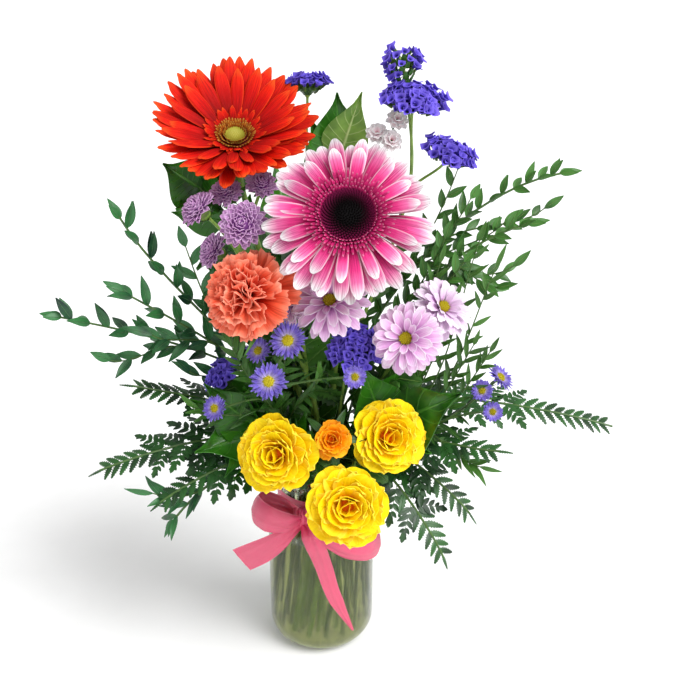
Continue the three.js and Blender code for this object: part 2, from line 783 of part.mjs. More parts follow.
function carnationBloom(owner, place, radius, salt) {
  const petal = { at: [0, 0.5, 1], half: [0, 5.5, 8.5], fold: 0.1, root: 3, turn: 30 };
  const rings = [
    { count: 7, z: -9, length: radius - 3, rise: [28, 2] },
    { count: 5, z: -5, length: radius * 0.86, rise: [50, 24], phase: 0.5 },
    { count: 3, z: -1, length: radius * 0.7, rise: [70, 54] },
  ];
  const core = new THREE.IcosahedronGeometry(8, 0).scale(1, 1, 1.3).translate(0, 0, -4);
  return [core, ...petalRings(owner, place, petal, rings, salt)];
}

function pomponBloom(owner, place, radius, salt) {
  const petal = { at: [0, 0.6, 1], half: [0, radius * 0.24, 0], fold: 0.2, root: radius * 0.3 };
  const length = radius * 0.68;
  const rings = [
    { count: 6, z: -1.5, length, rise: [-10, 0] },
    { count: 4, z: radius * 0.18, length, rise: [28, 30], phase: 0.5 },
    { count: 2, z: radius * 0.3, length: length * 0.9, rise: [66, 70] },
  ];
  const core = new THREE.IcosahedronGeometry(radius * 0.6, 0);
  return [core, ...petalRings(owner, place, petal, rings, salt)];
}

function daisyBloom(owner, place, radius, salt) {
  const petal = { at: [0, 0.4, 0.85, 1], half: [0, 2.5, 3.1, 0], fold: 0.15, root: 3.6 };
  const rings = [
    { count: 9, z: -2, length: radius - 3.6, rise: [14, -26] },
    { count: 5, z: -0.6, length: radius * 0.78, rise: [36, 4], phase: 0.5 },
  ];
  return [
    hub(5.5, -3.1, 0, 7),
    dome(4.6, -0.5, 3.2, 7),
    ...petalRings(owner, place, petal, rings, salt),
  ];
}

function roseBloom(owner, place, radius, salt) {
  const petal = { at: [0, 0.5, 0.88, 1], fold: 0.1, root: radius * 0.08, turn: 8 };
  const wide = (share) => [0, radius * share * 0.85, radius * share, radius * share * 0.4];
  const rings = [
    { count: 5, z: -radius * 0.2, length: radius * 0.98, rise: [28, -8], half: wide(0.46) },
    { count: 3, z: -radius * 0.12, length: radius * 0.8, rise: [54, 30], half: wide(0.4), phase: 0.5 },
    { count: 2, z: 0, length: radius * 0.5, rise: [76, 66], half: wide(0.28) },
  ];
  const core = new THREE.IcosahedronGeometry(radius * 0.34, 0);
  return [core, ...petalRings(owner, place, petal, rings, salt)];
}

// A comb of papery trumpets standing close together on a low mound.
function staticeComb(radius, salt) {
  const mound = new THREE.CylinderGeometry(1, 0.86, 1, 7).rotateX(Math.PI / 2);
  const parts = [mound.scale(radius * 0.86, radius * 0.68, 5.6).translate(0, 0, -0.3)];
  const count = Math.round(radius * 0.42) + 3;
  for (let k = 0; k < count; k += 1) {
    const share = Math.sqrt((k + 0.5) / count);
    const angle = k * 2.39996 + spread(k, salt, 0.3);
    const x = radius * 0.84 * share * Math.cos(angle);
    const y = radius * 0.64 * share * Math.sin(angle);
    const middle = new THREE.Vector3(x, y, 3.6 - 2.4 * share * share);
    const heading = new THREE.Vector3(x * 0.5, y * 0.5, radius * 0.5).normalize();
    const cone = new THREE.ConeGeometry(3.2, 9, 4).rotateX(-Math.PI / 2);
    parts.push(cone.applyMatrix4(placed(middle, heading)));
  }
  return parts;
}

const BLOOM_KINDS = {
  carnation: { make: carnationBloom, colour: COLOURS.coral },
  pompon: { make: pomponBloom, colour: COLOURS.lilac },
  daisy: { make: daisyBloom, colour: COLOURS.lavender },
  rose: { make: roseBloom, colour: COLOURS.yellow },
  statice: { make: (owner, place, radius, salt) => staticeComb(radius, salt), colour: COLOURS.violet },
};

function bloomPlace({ at, faces }) {
  return placed(point(at), point(faces).normalize());
}

function addBloom(name, parts, colour, place) {
  const body = fuse(parts);
  const geometry = geometryOf(body);
  stand(name, solid(geometry.clone().applyMatrix4(place)));
  addMesh(name, geometry, colour, 0.7, place);
}

function addGerbera(name, form, colours, salt) {
  const place = bloomPlace(BLOOMS[name]);
  const rays = `${name}_rays`;
  const eye = `${name}_eye`;
  const size = { ...form, radius: BLOOMS[name].radius };
  addBloom(rays, gerberaRays(rays, place, size, salt), colours[0], place);
  addBloom(eye, gerberaEye(eye, place, size, salt + 40), colours[1], place);
}

function addBlooms() {
  addGerbera("gerbera_red", GERBERA_FORMS.red, [COLOURS.red, COLOURS.redEye], 3);
  addGerbera("gerbera_pink", GERBERA_FORMS.pink, [COLOURS.pink, COLOURS.pinkEye], 5);
  Object.entries(BLOOMS).forEach(([name, plan], index) => {
    const kind = BLOOM_KINDS[name.split("_")[0]];
    if (kind) {
      const place = bloomPlace(plan);
      addBloom(name, kind.make(name, place, plan.radius, 11 + index), kind.colour, place);
    }
  });
}

// ---------------------------------------------------------------- leaves on their stems

// The place, heading and side direction a share of the way along a stem's bend. The place lies on
// the straight piece between two knots, where the bar really is.
function station(stem, share) {
  const knot = Math.min(Math.floor(share * BEND_STEPS), BEND_STEPS - 1);
  const at = stem.knots[knot].clone().lerp(stem.knots[knot + 1], share * BEND_STEPS - knot);
  const heading = stem.bend.getTangent(share).normalize();
  const side = new THREE.Vector3().crossVectors(heading, UP).normalize();
  const face = new THREE.Vector3().crossVectors(side, heading).normalize();
  return { at, heading, side, face };
}

// A leaf's root lies in the far side of its stem, so that it meets the bar with some thickness.
function sunk(stem, at, out) {
  return along(at, out, -0.4 * stem.radius);
}

// A direction that leaves the stem to one side by an angle, rolled about the stem.
function outward({ heading, side, face }, sign, openDegrees, rollDegrees) {
  const open = THREE.MathUtils.degToRad(openDegrees);
  const roll = THREE.MathUtils.degToRad(rollDegrees);
  const flat = side.clone().multiplyScalar(sign * Math.cos(roll)).addScaledVector(face, Math.sin(roll));
  return heading.clone().multiplyScalar(Math.cos(open)).addScaledVector(flat, Math.sin(open));
}

// Fronds: paired leaflets with a stepped edge, longest near the foot, shortening to the tip.
function fernLeaflets(stem, salt) {
  const parts = [];
  const pairs = 6;
  for (let k = 0; k < pairs; k += 1) {
    const share = 0.4 + (0.6 * (k + 0.3)) / pairs;
    const here = station(stem, share);
    const size = (stem.length * 0.2 + 8) * (1 - (k / pairs) ** 1.5 * 0.86);
    for (const sign of [-1, 1]) {
      const index = 2 * k + (sign > 0 ? 1 : 0);
      const wide = size * 0.17 + 1.4;
      const lobed = k < 2;
      const out = outward(here, sign, 62, spread(index, salt, 6));
      parts.push(
        ...grow(stem.name, {
          root: sunk(stem, here.at, out),
          out,
          up: here.face,
          length: size * (1 + spread(index, salt + 1, 0.1)),
          rise: [0.1, -0.25],
          at: lobed ? [0, 0.3, 0.48, 0.68, 1] : [0, 0.35, 1],
          half: lobed ? [0, wide, wide * 0.5, wide * 0.72, 0] : [0, wide * 0.8, 0],
        }),
      );
    }
  }
  return parts;
}

// Eucalyptus: opposite pairs of slim pointed leaves, each pair turned from the last.
function eucalyptusLeaves(stem, salt) {
  const parts = [];
  const pairs = Math.round(stem.length / 40) + 1;
  for (let k = 0; k < pairs; k += 1) {
    const share = 0.34 + (0.64 * (k + 0.5)) / pairs;
    const here = station(stem, share);
    for (const sign of [-1, 1]) {
      const index = 2 * k + (sign > 0 ? 1 : 0);
      const out = outward(here, sign, 50, (k % 2) * 70 + spread(index, salt, 20));
      parts.push(
        ...grow(stem.name, {
          root: sunk(stem, here.at, out),
          out,
          up: here.face,
          length: 22 - 8 * share + spread(index, salt + 1, 3),
          rise: [0.1, -0.3],
          at: [0, 0.45, 1],
          half: [0, 3.4, 0],
        }),
      );
    }
  }
  const tip = station(stem, 1);
  return [...parts, ...grow(stem.name, leafAt(along(tip.at, tip.heading, -2), tip, 16, 3))];
}

function leafAt(root, { heading, face }, length, half) {
  return { root, out: heading, up: face, length, rise: [0, -0.2], at: [0, 0.45, 1], half: [0, half, 0] };
}

// Salal: broad pointed leaves that face the outside of the bouquet.
function salalLeaves(stem) {
  return BROAD_LEAVES[stem.name].flatMap(({ share, tip, half }) => {
    const { at } = station(stem, share);
    const toTip = point(tip).sub(at);
    const out = toTip.clone().normalize();
    const outside = new THREE.Vector3(toTip.x, toTip.y, 0).normalize();
    return grow(stem.name, {
      root: sunk(stem, at, out),
      out,
      up: along(outside, UP, 1.2),
      length: toTip.length(),
      rise: [0.22, -0.22],
      at: [0, 0.16, 0.42, 0.74, 1],
      half: [0, half * 0.62, half, half * 0.7, 0],
      fold: 0.04,
    });
  });
}

// Asters: a small head is a star of rays round a raised eye, facing +Z.
function asterHead(radius) {
  const rays = 8;
  const rim = Array.from({ length: rays * 2 }, (_, k) =>
    onCircle(k % 2 ? radius * 0.42 : radius, (Math.PI * k) / rays, k % 2 ? 0 : 1),
  );
  const eye = new THREE.Vector3(0, 0, radius * 0.24);
  const back = new THREE.Vector3(0, 0, -radius * 0.22);
  return loft([[back], rim, [eye]]);
}

// Each head ends a short branch from the fork.
function asterHeads(stem) {
  return ASTERS[stem.name].flatMap(({ at, faces, radius }, order) => {
    const heading = point(faces).normalize();
    const end = point(at);
    return [
      asterHead(radius).applyMatrix4(placed(end, heading)),
      tube(branch(stem, order, end, heading), 0.8, 3, 2),
    ];
  });
}

function narrowLeaves(stem, count, length, half, salt) {
  const parts = [];
  for (let k = 0; k < count; k += 1) {
    const here = station(stem, 0.3 + (0.66 * (k + 0.5)) / count);
    const out = outward(here, k % 2 ? 1 : -1, 48, spread(k, salt, 80));
    parts.push(
      ...grow(stem.name, {
        root: sunk(stem, here.at, out),
        out,
        up: here.face,
        length: length * (1 + spread(k, salt + 1, 0.2)),
        rise: [0.1, -0.2],
        at: [0, 0.5, 1],
        half: [0, half, 0],
      }),
    );
  }
  return parts;
}

// Filler: short twigs from the stem's end, each with a round bud-like bloom.
function fillerBlooms(stem, salt) {
  const parts = [];
  const places = [
    [50.7, 3, 394],
    [47, -3, 382],
    [38, 2, 386],
  ];
  places.forEach((place, k) => {
    const at = point(place);
    const heading = at.clone().sub(stem.end).normalize();
    parts.push(tube(branch(stem, k, at, heading), 0.7, 3, 2));
    parts.push(new THREE.OctahedronGeometry(4 + spread(k, salt, 0.6), 0).translate(at.x, at.y, at.z));
  });
  return parts;
}

const LEAF_KINDS = {
  salal: { make: salalLeaves, colour: COLOURS.salal },
  fern: { make: fernLeaflets, colour: COLOURS.fern },
  eucalyptus: { make: eucalyptusLeaves, colour: COLOURS.gum },
  aster: {
    make: (stem, salt) => [...asterHeads(stem), ...narrowLeaves(stem, 4, 24, 2.2, salt)],
    colour: COLOURS.aster,
  },
  filler: {
    make: (stem, salt) => [...fillerBlooms(stem, salt), ...narrowLeaves(stem, 3, 18, 2, salt + 5)],
    colour: COLOURS.filler,
  },
  stem: { make: () => [], colour: COLOURS.stem },
  statice: {
    make: (stem, salt) => {
      const place = placed(stem.end, stem.heading);
      return staticeComb(10, salt).map((part) => part.applyMatrix4(place));
    },
    colour: COLOURS.violet,
  },
};

function addFoliage(stems) {
  const order = ["stem", "statice", "aster", "salal", "filler", "fern", "eucalyptus"];
  for (const kind of order) {
    Object.values(stems).forEach((stem, index) => {
      if (stem.name.split("_")[0] !== kind) {
        return;
      }
      const { make, colour } = LEAF_KINDS[kind];
      const body = fuse([...skeleton(stem), ...make(stem, 70 + index * 3)]);
      stand(stem.name, body);
      addMesh(stem.name, geometryOf(body), colour);
    });
  }
}

// ---------------------------------------------------------------- assembly

const stems = planStems();

const jar = jarGeometry();
stand("jar", solid(jar));
addMesh("jar", jar, COLOURS.glass, 0.1);

addMesh("water", geometryOf(waterBody(stems)), COLOURS.water, 0.1);

const ribbon = ribbonGeometry();
stand("ribbon", ribbon);
addMesh("ribbon", geometryOf(ribbon), COLOURS.ribbon, 0.4);

for (const stem of Object.values(stems)) {
  stand(stem.name, fuse(skeleton(stem)));
}
addBlooms();
addFoliage(stems);

export default bouquet;
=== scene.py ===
# %% [markdown]
# # Gerberas in a vase
# The object is a mixed bouquet in a round glass jar of water, tied with a pink satin ribbon. Two
# gerberas, a carnation, button chrysanthemums, daisies, statice, asters and spray roses stand among
# fern, eucalyptus and salal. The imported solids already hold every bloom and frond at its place, so
# this script keeps those places and grows finer petals and leaves on them.

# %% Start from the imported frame
import math
from collections import namedtuple

import bmesh
import bpy
import numpy as np
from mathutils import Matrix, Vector
from mathutils.bvhtree import BVHTree


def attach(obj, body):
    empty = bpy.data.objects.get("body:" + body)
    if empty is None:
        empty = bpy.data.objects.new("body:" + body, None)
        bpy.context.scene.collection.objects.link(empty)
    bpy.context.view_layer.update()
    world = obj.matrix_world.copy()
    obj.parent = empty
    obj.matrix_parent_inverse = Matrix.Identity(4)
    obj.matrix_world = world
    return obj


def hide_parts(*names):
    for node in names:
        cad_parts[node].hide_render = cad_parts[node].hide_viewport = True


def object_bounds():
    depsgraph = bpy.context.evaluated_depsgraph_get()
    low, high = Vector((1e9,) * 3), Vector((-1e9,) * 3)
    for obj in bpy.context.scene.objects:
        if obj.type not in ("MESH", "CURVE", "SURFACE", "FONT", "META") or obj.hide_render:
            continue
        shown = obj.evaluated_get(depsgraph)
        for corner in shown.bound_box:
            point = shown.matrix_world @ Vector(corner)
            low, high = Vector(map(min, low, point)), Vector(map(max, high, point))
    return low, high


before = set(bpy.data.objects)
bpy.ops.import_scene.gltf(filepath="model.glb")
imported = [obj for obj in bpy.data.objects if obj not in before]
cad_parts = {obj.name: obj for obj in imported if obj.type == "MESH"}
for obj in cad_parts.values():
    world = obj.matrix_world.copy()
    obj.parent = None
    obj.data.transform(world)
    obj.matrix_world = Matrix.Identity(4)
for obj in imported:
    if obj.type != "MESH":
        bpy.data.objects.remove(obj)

CAD_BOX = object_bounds()
MM = 0.001
print("nodes", len(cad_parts), "box", [round(v, 3) for corner in CAD_BOX for v in corner])

# %% [markdown]
# The camera comes first. It stands a little above the bouquet, 560 mm in front of it, and looks down
# by 21.8 degrees, which is how the jar's foot and lip open up as ovals.

# %% Camera
camera_data = bpy.data.cameras.new("camera")
camera_data.sensor_width = 36.0
camera_data.lens = 46.05
camera_data.clip_start = 0.01
camera = bpy.data.objects.new("camera", camera_data)
camera.location = (0.0133, -0.560, 0.470)
camera.rotation_euler = (math.radians(90 - 21.8), 0, 0)
bpy.context.scene.collection.objects.link(camera)
bpy.context.scene.camera = camera

# %% [markdown]
# The light is that of a white photo tent: bright walls all round, a weaker ceiling, and one wide
# soft sun from the upper right, so that the shadow spreads softly to the left over the pale floor.

# %% Room and sun
sun_data = bpy.data.lights.new("sun", "SUN")
sun_data.energy = 3.3
sun_data.angle = math.radians(38)
sun = bpy.data.objects.new("sun", sun_data)
sun.rotation_euler = Vector((-0.62, 0.42, -0.85)).to_track_quat("-Z", "Y").to_euler()
bpy.context.scene.collection.objects.link(sun)

room = bpy.data.worlds.new("room")
room.use_nodes = True
tent = room.node_tree
place = tent.nodes.new("ShaderNodeTexCoord")
parts = tent.nodes.new("ShaderNodeSeparateXYZ")
height = tent.nodes.new("ShaderNodeMapRange")
height.inputs["From Min"].default_value = 0.15
height.inputs["From Max"].default_value = 0.6
height.inputs["To Min"].default_value = 1.12
height.inputs["To Max"].default_value = 0.6
tent.links.new(place.outputs["Generated"], parts.inputs[0])
tent.links.new(parts.outputs["Z"], height.inputs["Value"])
tent.links.new(height.outputs[0], tent.nodes["Background"].inputs["Strength"])
tent.nodes["Background"].inputs["Color"].default_value = (1, 1, 1, 1)
bpy.context.scene.world = room
bpy.context.scene.view_settings.view_transform = "Standard"

# %% [markdown]
# Finishes are node trees, and their maths reads best as plain expressions. `Wire` wraps one output
# socket so that `ribs - 0.5` or `lines * 0.8` adds its Math nodes, and `Finish.node` makes any other
# node from its type, its settings and its inputs. Every petal and leaf carries three numbers of its
# own for its finish: how far across and along the blade a point lies, and a tint for the whole blade.

# %% Shader helpers
def linear(hex_code):
    """A colour as a painter writes it, #rrggbb, in the linear numbers that shaders use."""
    parts = [int(hex_code[i : i + 2], 16) / 255 for i in (1, 3, 5)]
    return [c / 12.92 if c <= 0.04045 else ((c + 0.055) / 1.055) ** 2.4 for c in parts] + [1.0]


class Wire:
    """One output socket, with arithmetic."""

    def __init__(self, finish, socket):
        self.finish, self.socket = finish, socket

    def __add__(self, other):
        return self.finish.math("ADD", self, other)

    def __sub__(self, other):
        return self.finish.math("SUBTRACT", self, other)

    def __mul__(self, other):
        return self.finish.math("MULTIPLY", self, other)

    def __abs__(self):
        return self.finish.math("ABSOLUTE", self)


class Finish:
    """A material with one Principled shader, and helpers that add nodes to it."""

    def __init__(self, name, roughness, **constants):
        self.material = bpy.data.materials.new(name)
        self.material.use_nodes = True
        self.tree = self.material.node_tree
        self.shader = self.tree.nodes["Principled BSDF"]
        self.shader.inputs["Roughness"].default_value = roughness
        for key, value in constants.items():
            self.shader.inputs[key.replace("_", " ")].default_value = value

    def node(self, kind, settings=None, inputs=None, output=0):
        made = self.tree.nodes.new(kind)
        for key, value in (settings or {}).items():
            if key == "stops":
                ramp = made.color_ramp
                while len(ramp.elements) < len(value):
                    ramp.elements.new(1.0)
                for element, (place, colour) in zip(ramp.elements, value):
                    element.position = place
                    element.color = colour
            else:
                setattr(made, key, value)
        for key, value in (inputs or {}).items():
            if isinstance(value, Wire):
                self.tree.links.new(value.socket, made.inputs[key])
            else:
                made.inputs[key].default_value = value
        return Wire(self, made.outputs[output])

    def math(self, operation, *values):
        return self.node("ShaderNodeMath", {"operation": operation}, dict(enumerate(values)))

    def attribute(self, name):
        return self.node("ShaderNodeAttribute", {"attribute_name": name}, output="Fac")

    def ramp(self, factor, stops):
        """stops: colours by their place between 0 and 1."""
        colours = [(place, linear(code)) for place, code in stops.items()]
        return self.node("ShaderNodeValToRGB", {"stops": colours}, {"Fac": factor})

    def step(self, value, low, high):
        limits = {"Value": value, "From Min": low, "From Max": high}
        return self.node("ShaderNodeMapRange", {"interpolation_type": "SMOOTHSTEP"}, limits)

    def mix(self, factor, first, second, blend="MIX"):
        values = {0: factor, 6: first, 7: second}
        settings = {"data_type": "RGBA", "blend_type": blend}
        return self.node("ShaderNodeMix", settings, values, output=2)

    def noise(self, place, scale, detail=2.0):
        values = {"Vector": place, "Scale": scale, "Detail": detail}
        return self.node("ShaderNodeTexNoise", {}, values, output="Fac")

    def object_place(self):
        return self.node("ShaderNodeTexCoord", output="Object")

    def feed(self, **wires):
        for key, wire in wires.items():
            self.tree.links.new(wire.socket, self.shader.inputs[key.replace("_", " ")])

    def bump(self, height, depth):
        values = {"Height": height, "Distance": depth, "Strength": 1.0}
        self.feed(Normal=self.node("ShaderNodeBump", {}, values))


# %% Petal and leaf finishes
BLACK = (0.0, 0.0, 0.0, 1.0)
RIPPLE = 6.2832  # one full turn of a sine


def petal_finish(name, stops, edge, edge_share, vein_and_groove_shade, roughness=0.6, edge_from=0.62, shade="#d2d2d2"):
    """A petal: colours from root to tip, an edge colour, and fine ribs that run lengthwise, darker in their
    grooves: partly the petal's own veins, partly painted shade.
    """
    finish = Finish(name, roughness, Specular_IOR_Level=0.14)
    across, along, tint = (finish.attribute(key) for key in ("across", "along", "tint"))
    place = finish.node("ShaderNodeCombineXYZ", {}, {0: across * 5 + tint * 31, 1: along * 0.7, 2: tint * 17})
    ribs = finish.noise(place, 2.2, 3.0)
    body = finish.ramp(along + (ribs - 0.5) * 0.16, stops)
    # The ribs go towards black where the bump is low: partly the petal's own veins, partly painted shade in
    # the grooves.
    dark = finish.mix(finish.step(ribs, 0.56, 0.36) * vein_and_groove_shade, body, BLACK)
    rim = finish.step(abs(across), edge_from, 1.0) * edge_share
    light = finish.mix(rim, dark, linear(edge))
    varied = finish.mix(1.0, light, finish.ramp(tint, {0: shade, 1: "#ffffff"}), "MULTIPLY")
    finish.feed(Base_Color=varied)
    finish.bump(ribs, 0.0006)
    return finish.material


def leaf_finish(name, dark, light, vein, veins, roughness):
    """A leaf: blotched green, a pale midrib, and side veins that slant towards the tip."""
    finish = Finish(name, roughness, Specular_IOR_Level=0.45)
    across, along, tint = (finish.attribute(key) for key in ("across", "along", "tint"))
    patches = finish.noise(finish.object_place(), 90.0, 2.0)
    green = finish.mix(finish.step(patches + tint * 0.5, 0.35, 1.0), linear(dark), linear(light))
    side = abs(across)
    slanted = finish.math("SINE", (along * veins - side * 0.55 * veins * 0.35) * RIPPLE)
    lines = finish.step(slanted, 0.86, 1.0) * 0.45
    raised = finish.math("MAXIMUM", finish.step(side, 0.09, 0.0), lines)
    finish.feed(Base_Color=finish.mix(raised * 0.8, green, linear(vein)))
    finish.bump(raised, 0.0004)
    return finish.material


RED = petal_finish(
    "red_petal", {0: "#700000", 0.3: "#a40000", 0.62: "#cc0600", 0.86: "#ee2204", 1: "#ff5a1c"},
    "#ff5216", 0.45, 0.34, edge_from=0.78, shade="#e0b4ac")
PINK = petal_finish(
    "pink_petal", {0: "#a2064a", 0.3: "#de1670", 0.6: "#f03a8a", 0.78: "#f672ae", 0.88: "#fbb8d4",
                   0.96: "#fff2f8", 1: "#fffafc"}, "#fde6f0", 0.6, 0.34, edge_from=0.7)
CORAL = petal_finish(
    "coral_petal", {0: "#b01a06", 0.45: "#ec4a2a", 0.8: "#fb7a58", 1: "#ffa68c"},
    "#ffb8a0", 0.3, 0.2, shade="#f4c8ba")
LILAC = petal_finish(
    "lilac_petal", {0: "#6c3c78", 0.4: "#b87cc2", 1: "#e8bce8"}, "#f6daf4", 0.5, 0.15, shade="#e8d0e6")
LAVENDER = petal_finish(
    "lavender_petal", {0: "#ac6cae", 0.28: "#e4a2de", 0.7: "#f8c8f0", 1: "#fff0fe"},
    "#fffaff", 0.7, 0.15, shade="#f0dcf2", edge_from=0.7)
PALE = petal_finish(
    "pale_petal", {0: "#c48ec8", 0.35: "#f0cdf0", 1: "#fff6ff"}, "#ffffff", 0.4, 0.15, shade="#f2e0f4")
YELLOW = petal_finish(
    "yellow_petal", {0: "#f58200", 0.22: "#fcae00", 0.5: "#ffd800", 1: "#ffe818"},
    "#fff270", 0.35, 0.08, 0.45, shade="#ffe8a0")
AMBER = petal_finish(
    "amber_petal", {0: "#e45400", 0.35: "#f58000", 0.75: "#fba200", 1: "#ffbe20"},
    "#ffd850", 0.35, 0.1, 0.45, shade="#ffd8a0")
EMBER = petal_finish(
    "ember_floret", {0: "#7a2a06", 0.55: "#b4480c", 0.85: "#d8862a", 1: "#f0cc60"}, "#d07a20", 0.2, 0.2)
MAGENTA = petal_finish(
    "magenta_floret", {0: "#5a0630", 0.5: "#c01060", 0.85: "#e8307e", 1: "#ff9cc0"}, "#f04a90", 0.2, 0.2)
VIOLET = petal_finish(
    "violet_floret", {0: "#5c7a34", 0.42: "#4a6030", 0.55: "#3c2aa4", 0.8: "#6450d2", 1: "#8470ee"},
    "#a08cf8", 0.3, 0.2)
ASTER = petal_finish(
    "aster_ray", {0: "#f8f4fe", 0.22: "#b4a4ea", 0.6: "#7c66dc", 1: "#9282ea"}, "#b8aaf2", 0.4, 0.15)
BLUSH = petal_finish(
    "blush_petal", {0: "#f8a8ba", 0.3: "#ffe4ea", 1: "#ffffff"}, "#ffffff", 0.3, 0.0, shade="#ffffff")
SALAL = leaf_finish("salal_leaf", "#10380a", "#327414", "#4e8a2c", 8.0, 0.3)
YOUNG = leaf_finish("young_salal_leaf", "#587f2c", "#8cb44e", "#c2d68c", 8.0, 0.34)
FERN = leaf_finish("fern_leaflet", "#0e2c12", "#265a20", "#3f7234", 0.0, 0.42)
GUM = leaf_finish("gum_leaf", "#0c2e22", "#33703c", "#64905c", 0.0, 0.42)
YOUNG_GUM = leaf_finish("young_gum_leaf", "#14400f", "#40762a", "#84a850", 0.0, 0.42)
GREEN = leaf_finish("narrow_leaf", "#153a10", "#3f7024", "#749c48", 0.0, 0.42)


def stem_finish(name, low, high):
    finish = Finish(name, 0.45, Specular_IOR_Level=0.4)
    patches = finish.noise(finish.object_place(), 160.0, 3.0)
    finish.feed(Base_Color=finish.mix(patches, linear(low), linear(high)))
    finish.bump(patches, 0.0004)
    return finish.material


STEM = stem_finish("stem", "#386414", "#a4c65e")
TWIG = stem_finish("twig", "#2c4a20", "#587a38")


def disc_finish(name, stops):
    """Disc florets: the colour follows how far each bud stands from the middle."""
    finish = Finish(name, 0.6, Specular_IOR_Level=0.12)
    body = finish.ramp(finish.attribute("tint"), stops)
    tips = finish.step(finish.attribute("along"), 0.2, 1.0) * 0.5
    finish.feed(Base_Color=finish.mix(tips, finish.mix(0.35, body, BLACK), body))
    return finish.material


MAROON = disc_finish(
    "maroon_disc", {0: "#020001", 0.34: "#0a0104", 0.5: "#420a24", 0.72: "#8a1a50", 1: "#c83272"})
LIME = disc_finish(
    "lime_disc", {0: "#ccd04a", 0.35: "#f2f088", 0.5: "#dcd650", 0.75: "#c8862a", 1: "#9a4410"})
MUSTARD = disc_finish("mustard_disc", {0: "#d8c81e", 0.6: "#eadc3a", 1: "#c7b021"})
print("finishes", len(bpy.data.materials))

# %% [markdown]
# Nature repeats itself with small differences. One seeded rule gives every petal and leaf its own
# number between 0 and 1, the same in each run, so nothing here is left to luck.

# %% Small differences
BENDS = [math.radians(angle) for angle in (0, 14, -14, 28, -28)]


def chance(index, salt):
    value = math.sin(index * 12.9898 + salt * 78.233) * 43758.5453
    return value - math.floor(value)


def spread(index, salt, amount):
    return (chance(index, salt) - 0.5) * 2 * amount


def unit(vector):
    vector = np.asarray(vector, float)
    return vector / np.linalg.norm(vector)


print("first chances", [round(chance(k, 1), 3) for k in range(4)])

# %% [markdown]
# Each kind of petal or leaf is modelled once, flat and at its real size, from a grid: its rows are
# narrowed to the outline, its columns lifted to the cross-section, and Subdivision and Solidify
# round it off and give it thickness. Many bent and turned copies are then laid round a bloom or
# along a stem, which is far lighter than modelling each petal, and gives each its own curl.

# %% Model one blade from a grid
SHAPES = {}
THINNEST = 0.02  # share of the width that a pointed row keeps


def started(add, **settings):
    """A new primitive at the origin, the only thing selected."""
    bpy.ops.object.select_all(action="DESELECT")
    add(**{"location": (0, 0, 0), **settings})
    return bpy.context.object


def pick(model, test):
    """Selects in edit mode the vertices that pass a test."""
    net = bmesh.from_edit_mesh(model.data)
    for vertex in net.verts:
        vertex.select = test(vertex)
    net.select_flush_mode()
    bmesh.update_edit_mesh(model.data)


def scaled(x, y, z):
    bpy.ops.transform.resize(value=(x, y, z), center_override=(0, 0, 0))


def moved(x, y, z):
    bpy.ops.transform.translate(value=(x * MM, y * MM, z * MM))


def thicken(model, thick, offset):
    """Gives a sheet its thickness: offset 0 to both sides, -1 to the inside."""
    skin = model.modifiers.new("thickness", "SOLIDIFY")
    skin.thickness, skin.offset = thick * MM, offset
    bpy.ops.object.modifier_apply(modifier="thickness")


def keep_shape(name, model):
    """Reads the finished model into arrays, in millimetres, and clears it from the scene."""
    mesh = model.data
    points = np.zeros(len(mesh.vertices) * 3)
    mesh.vertices.foreach_get("co", points)
    corners = np.zeros(len(mesh.loops), int)
    mesh.loops.foreach_get("vertex_index", corners)
    starts = np.zeros(len(mesh.polygons), int)
    mesh.polygons.foreach_get("loop_start", starts)
    shape = {"points": points.reshape(-1, 3) / MM, "corners": corners, "starts": starts}
    for key in ("across", "along"):
        shape[key] = np.zeros(len(mesh.vertices))
        if key in mesh.attributes:
            mesh.attributes[key].data.foreach_get("value", shape[key])
    shape["size"] = np.ptp(shape["points"], axis=0)
    bpy.data.objects.remove(model)
    SHAPES[name] = shape
    print(f"{name}: {len(starts)} faces, {np.round(shape['size'], 1)} mm")


def blade_shape(name, width, length, outline, section, tip=(), thick=0.3, rounds=0):
    """outline: half widths by row; section: lifts in mm by column; tip: y moves of the last row."""
    rows, columns = len(outline) - 1, len(section) - 1
    blade = started(bpy.ops.mesh.primitive_grid_add, x_subdivisions=columns, y_subdivisions=rows, size=1,
                    location=(0, 0.5, 0))
    bpy.ops.object.transform_apply(location=True)
    places = [(i % (columns + 1), i // (columns + 1)) for i in range(len(blade.data.vertices))]
    across = [2 * column / columns - 1 for column, _ in places]
    along = [row / rows for _, row in places]
    for key, values in (("across", across), ("along", along)):
        blade.data.attributes.new(key, "FLOAT", "POINT").data.foreach_set("value", values)
    bpy.ops.object.mode_set(mode="EDIT")
    scaled(width * MM, length * MM, 1)
    for row, share in enumerate(outline):
        pick(blade, lambda vertex: places[vertex.index][1] == row)
        scaled(max(share, THINNEST), 1, 1)
    for column, lift in enumerate(section):
        pick(blade, lambda vertex: places[vertex.index][0] == column and places[vertex.index][1] > 0)
        moved(0, 0, lift)
    for column, move in enumerate(tip):
        pick(blade, lambda vertex: places[vertex.index] == (column, rows))
        moved(0, move, 0)
    bpy.ops.object.mode_set(mode="OBJECT")
    if rounds:
        smooth = blade.modifiers.new("rounded", "SUBSURF")
        smooth.levels = smooth.render_levels = rounds
        bpy.ops.object.modifier_apply(modifier="rounded")
    thicken(blade, thick, 0)
    keep_shape(name, blade)


# %% [markdown]
# The petals: a gerbera's long ray with two shallow grooves, once blunt and once pointed, the slim
# floret of its fringe, a spoon-shaped mum petal, a daisy petal, the toothed fan of a carnation, a
# broad cupped rose petal, and the thread-like ray of an aster.

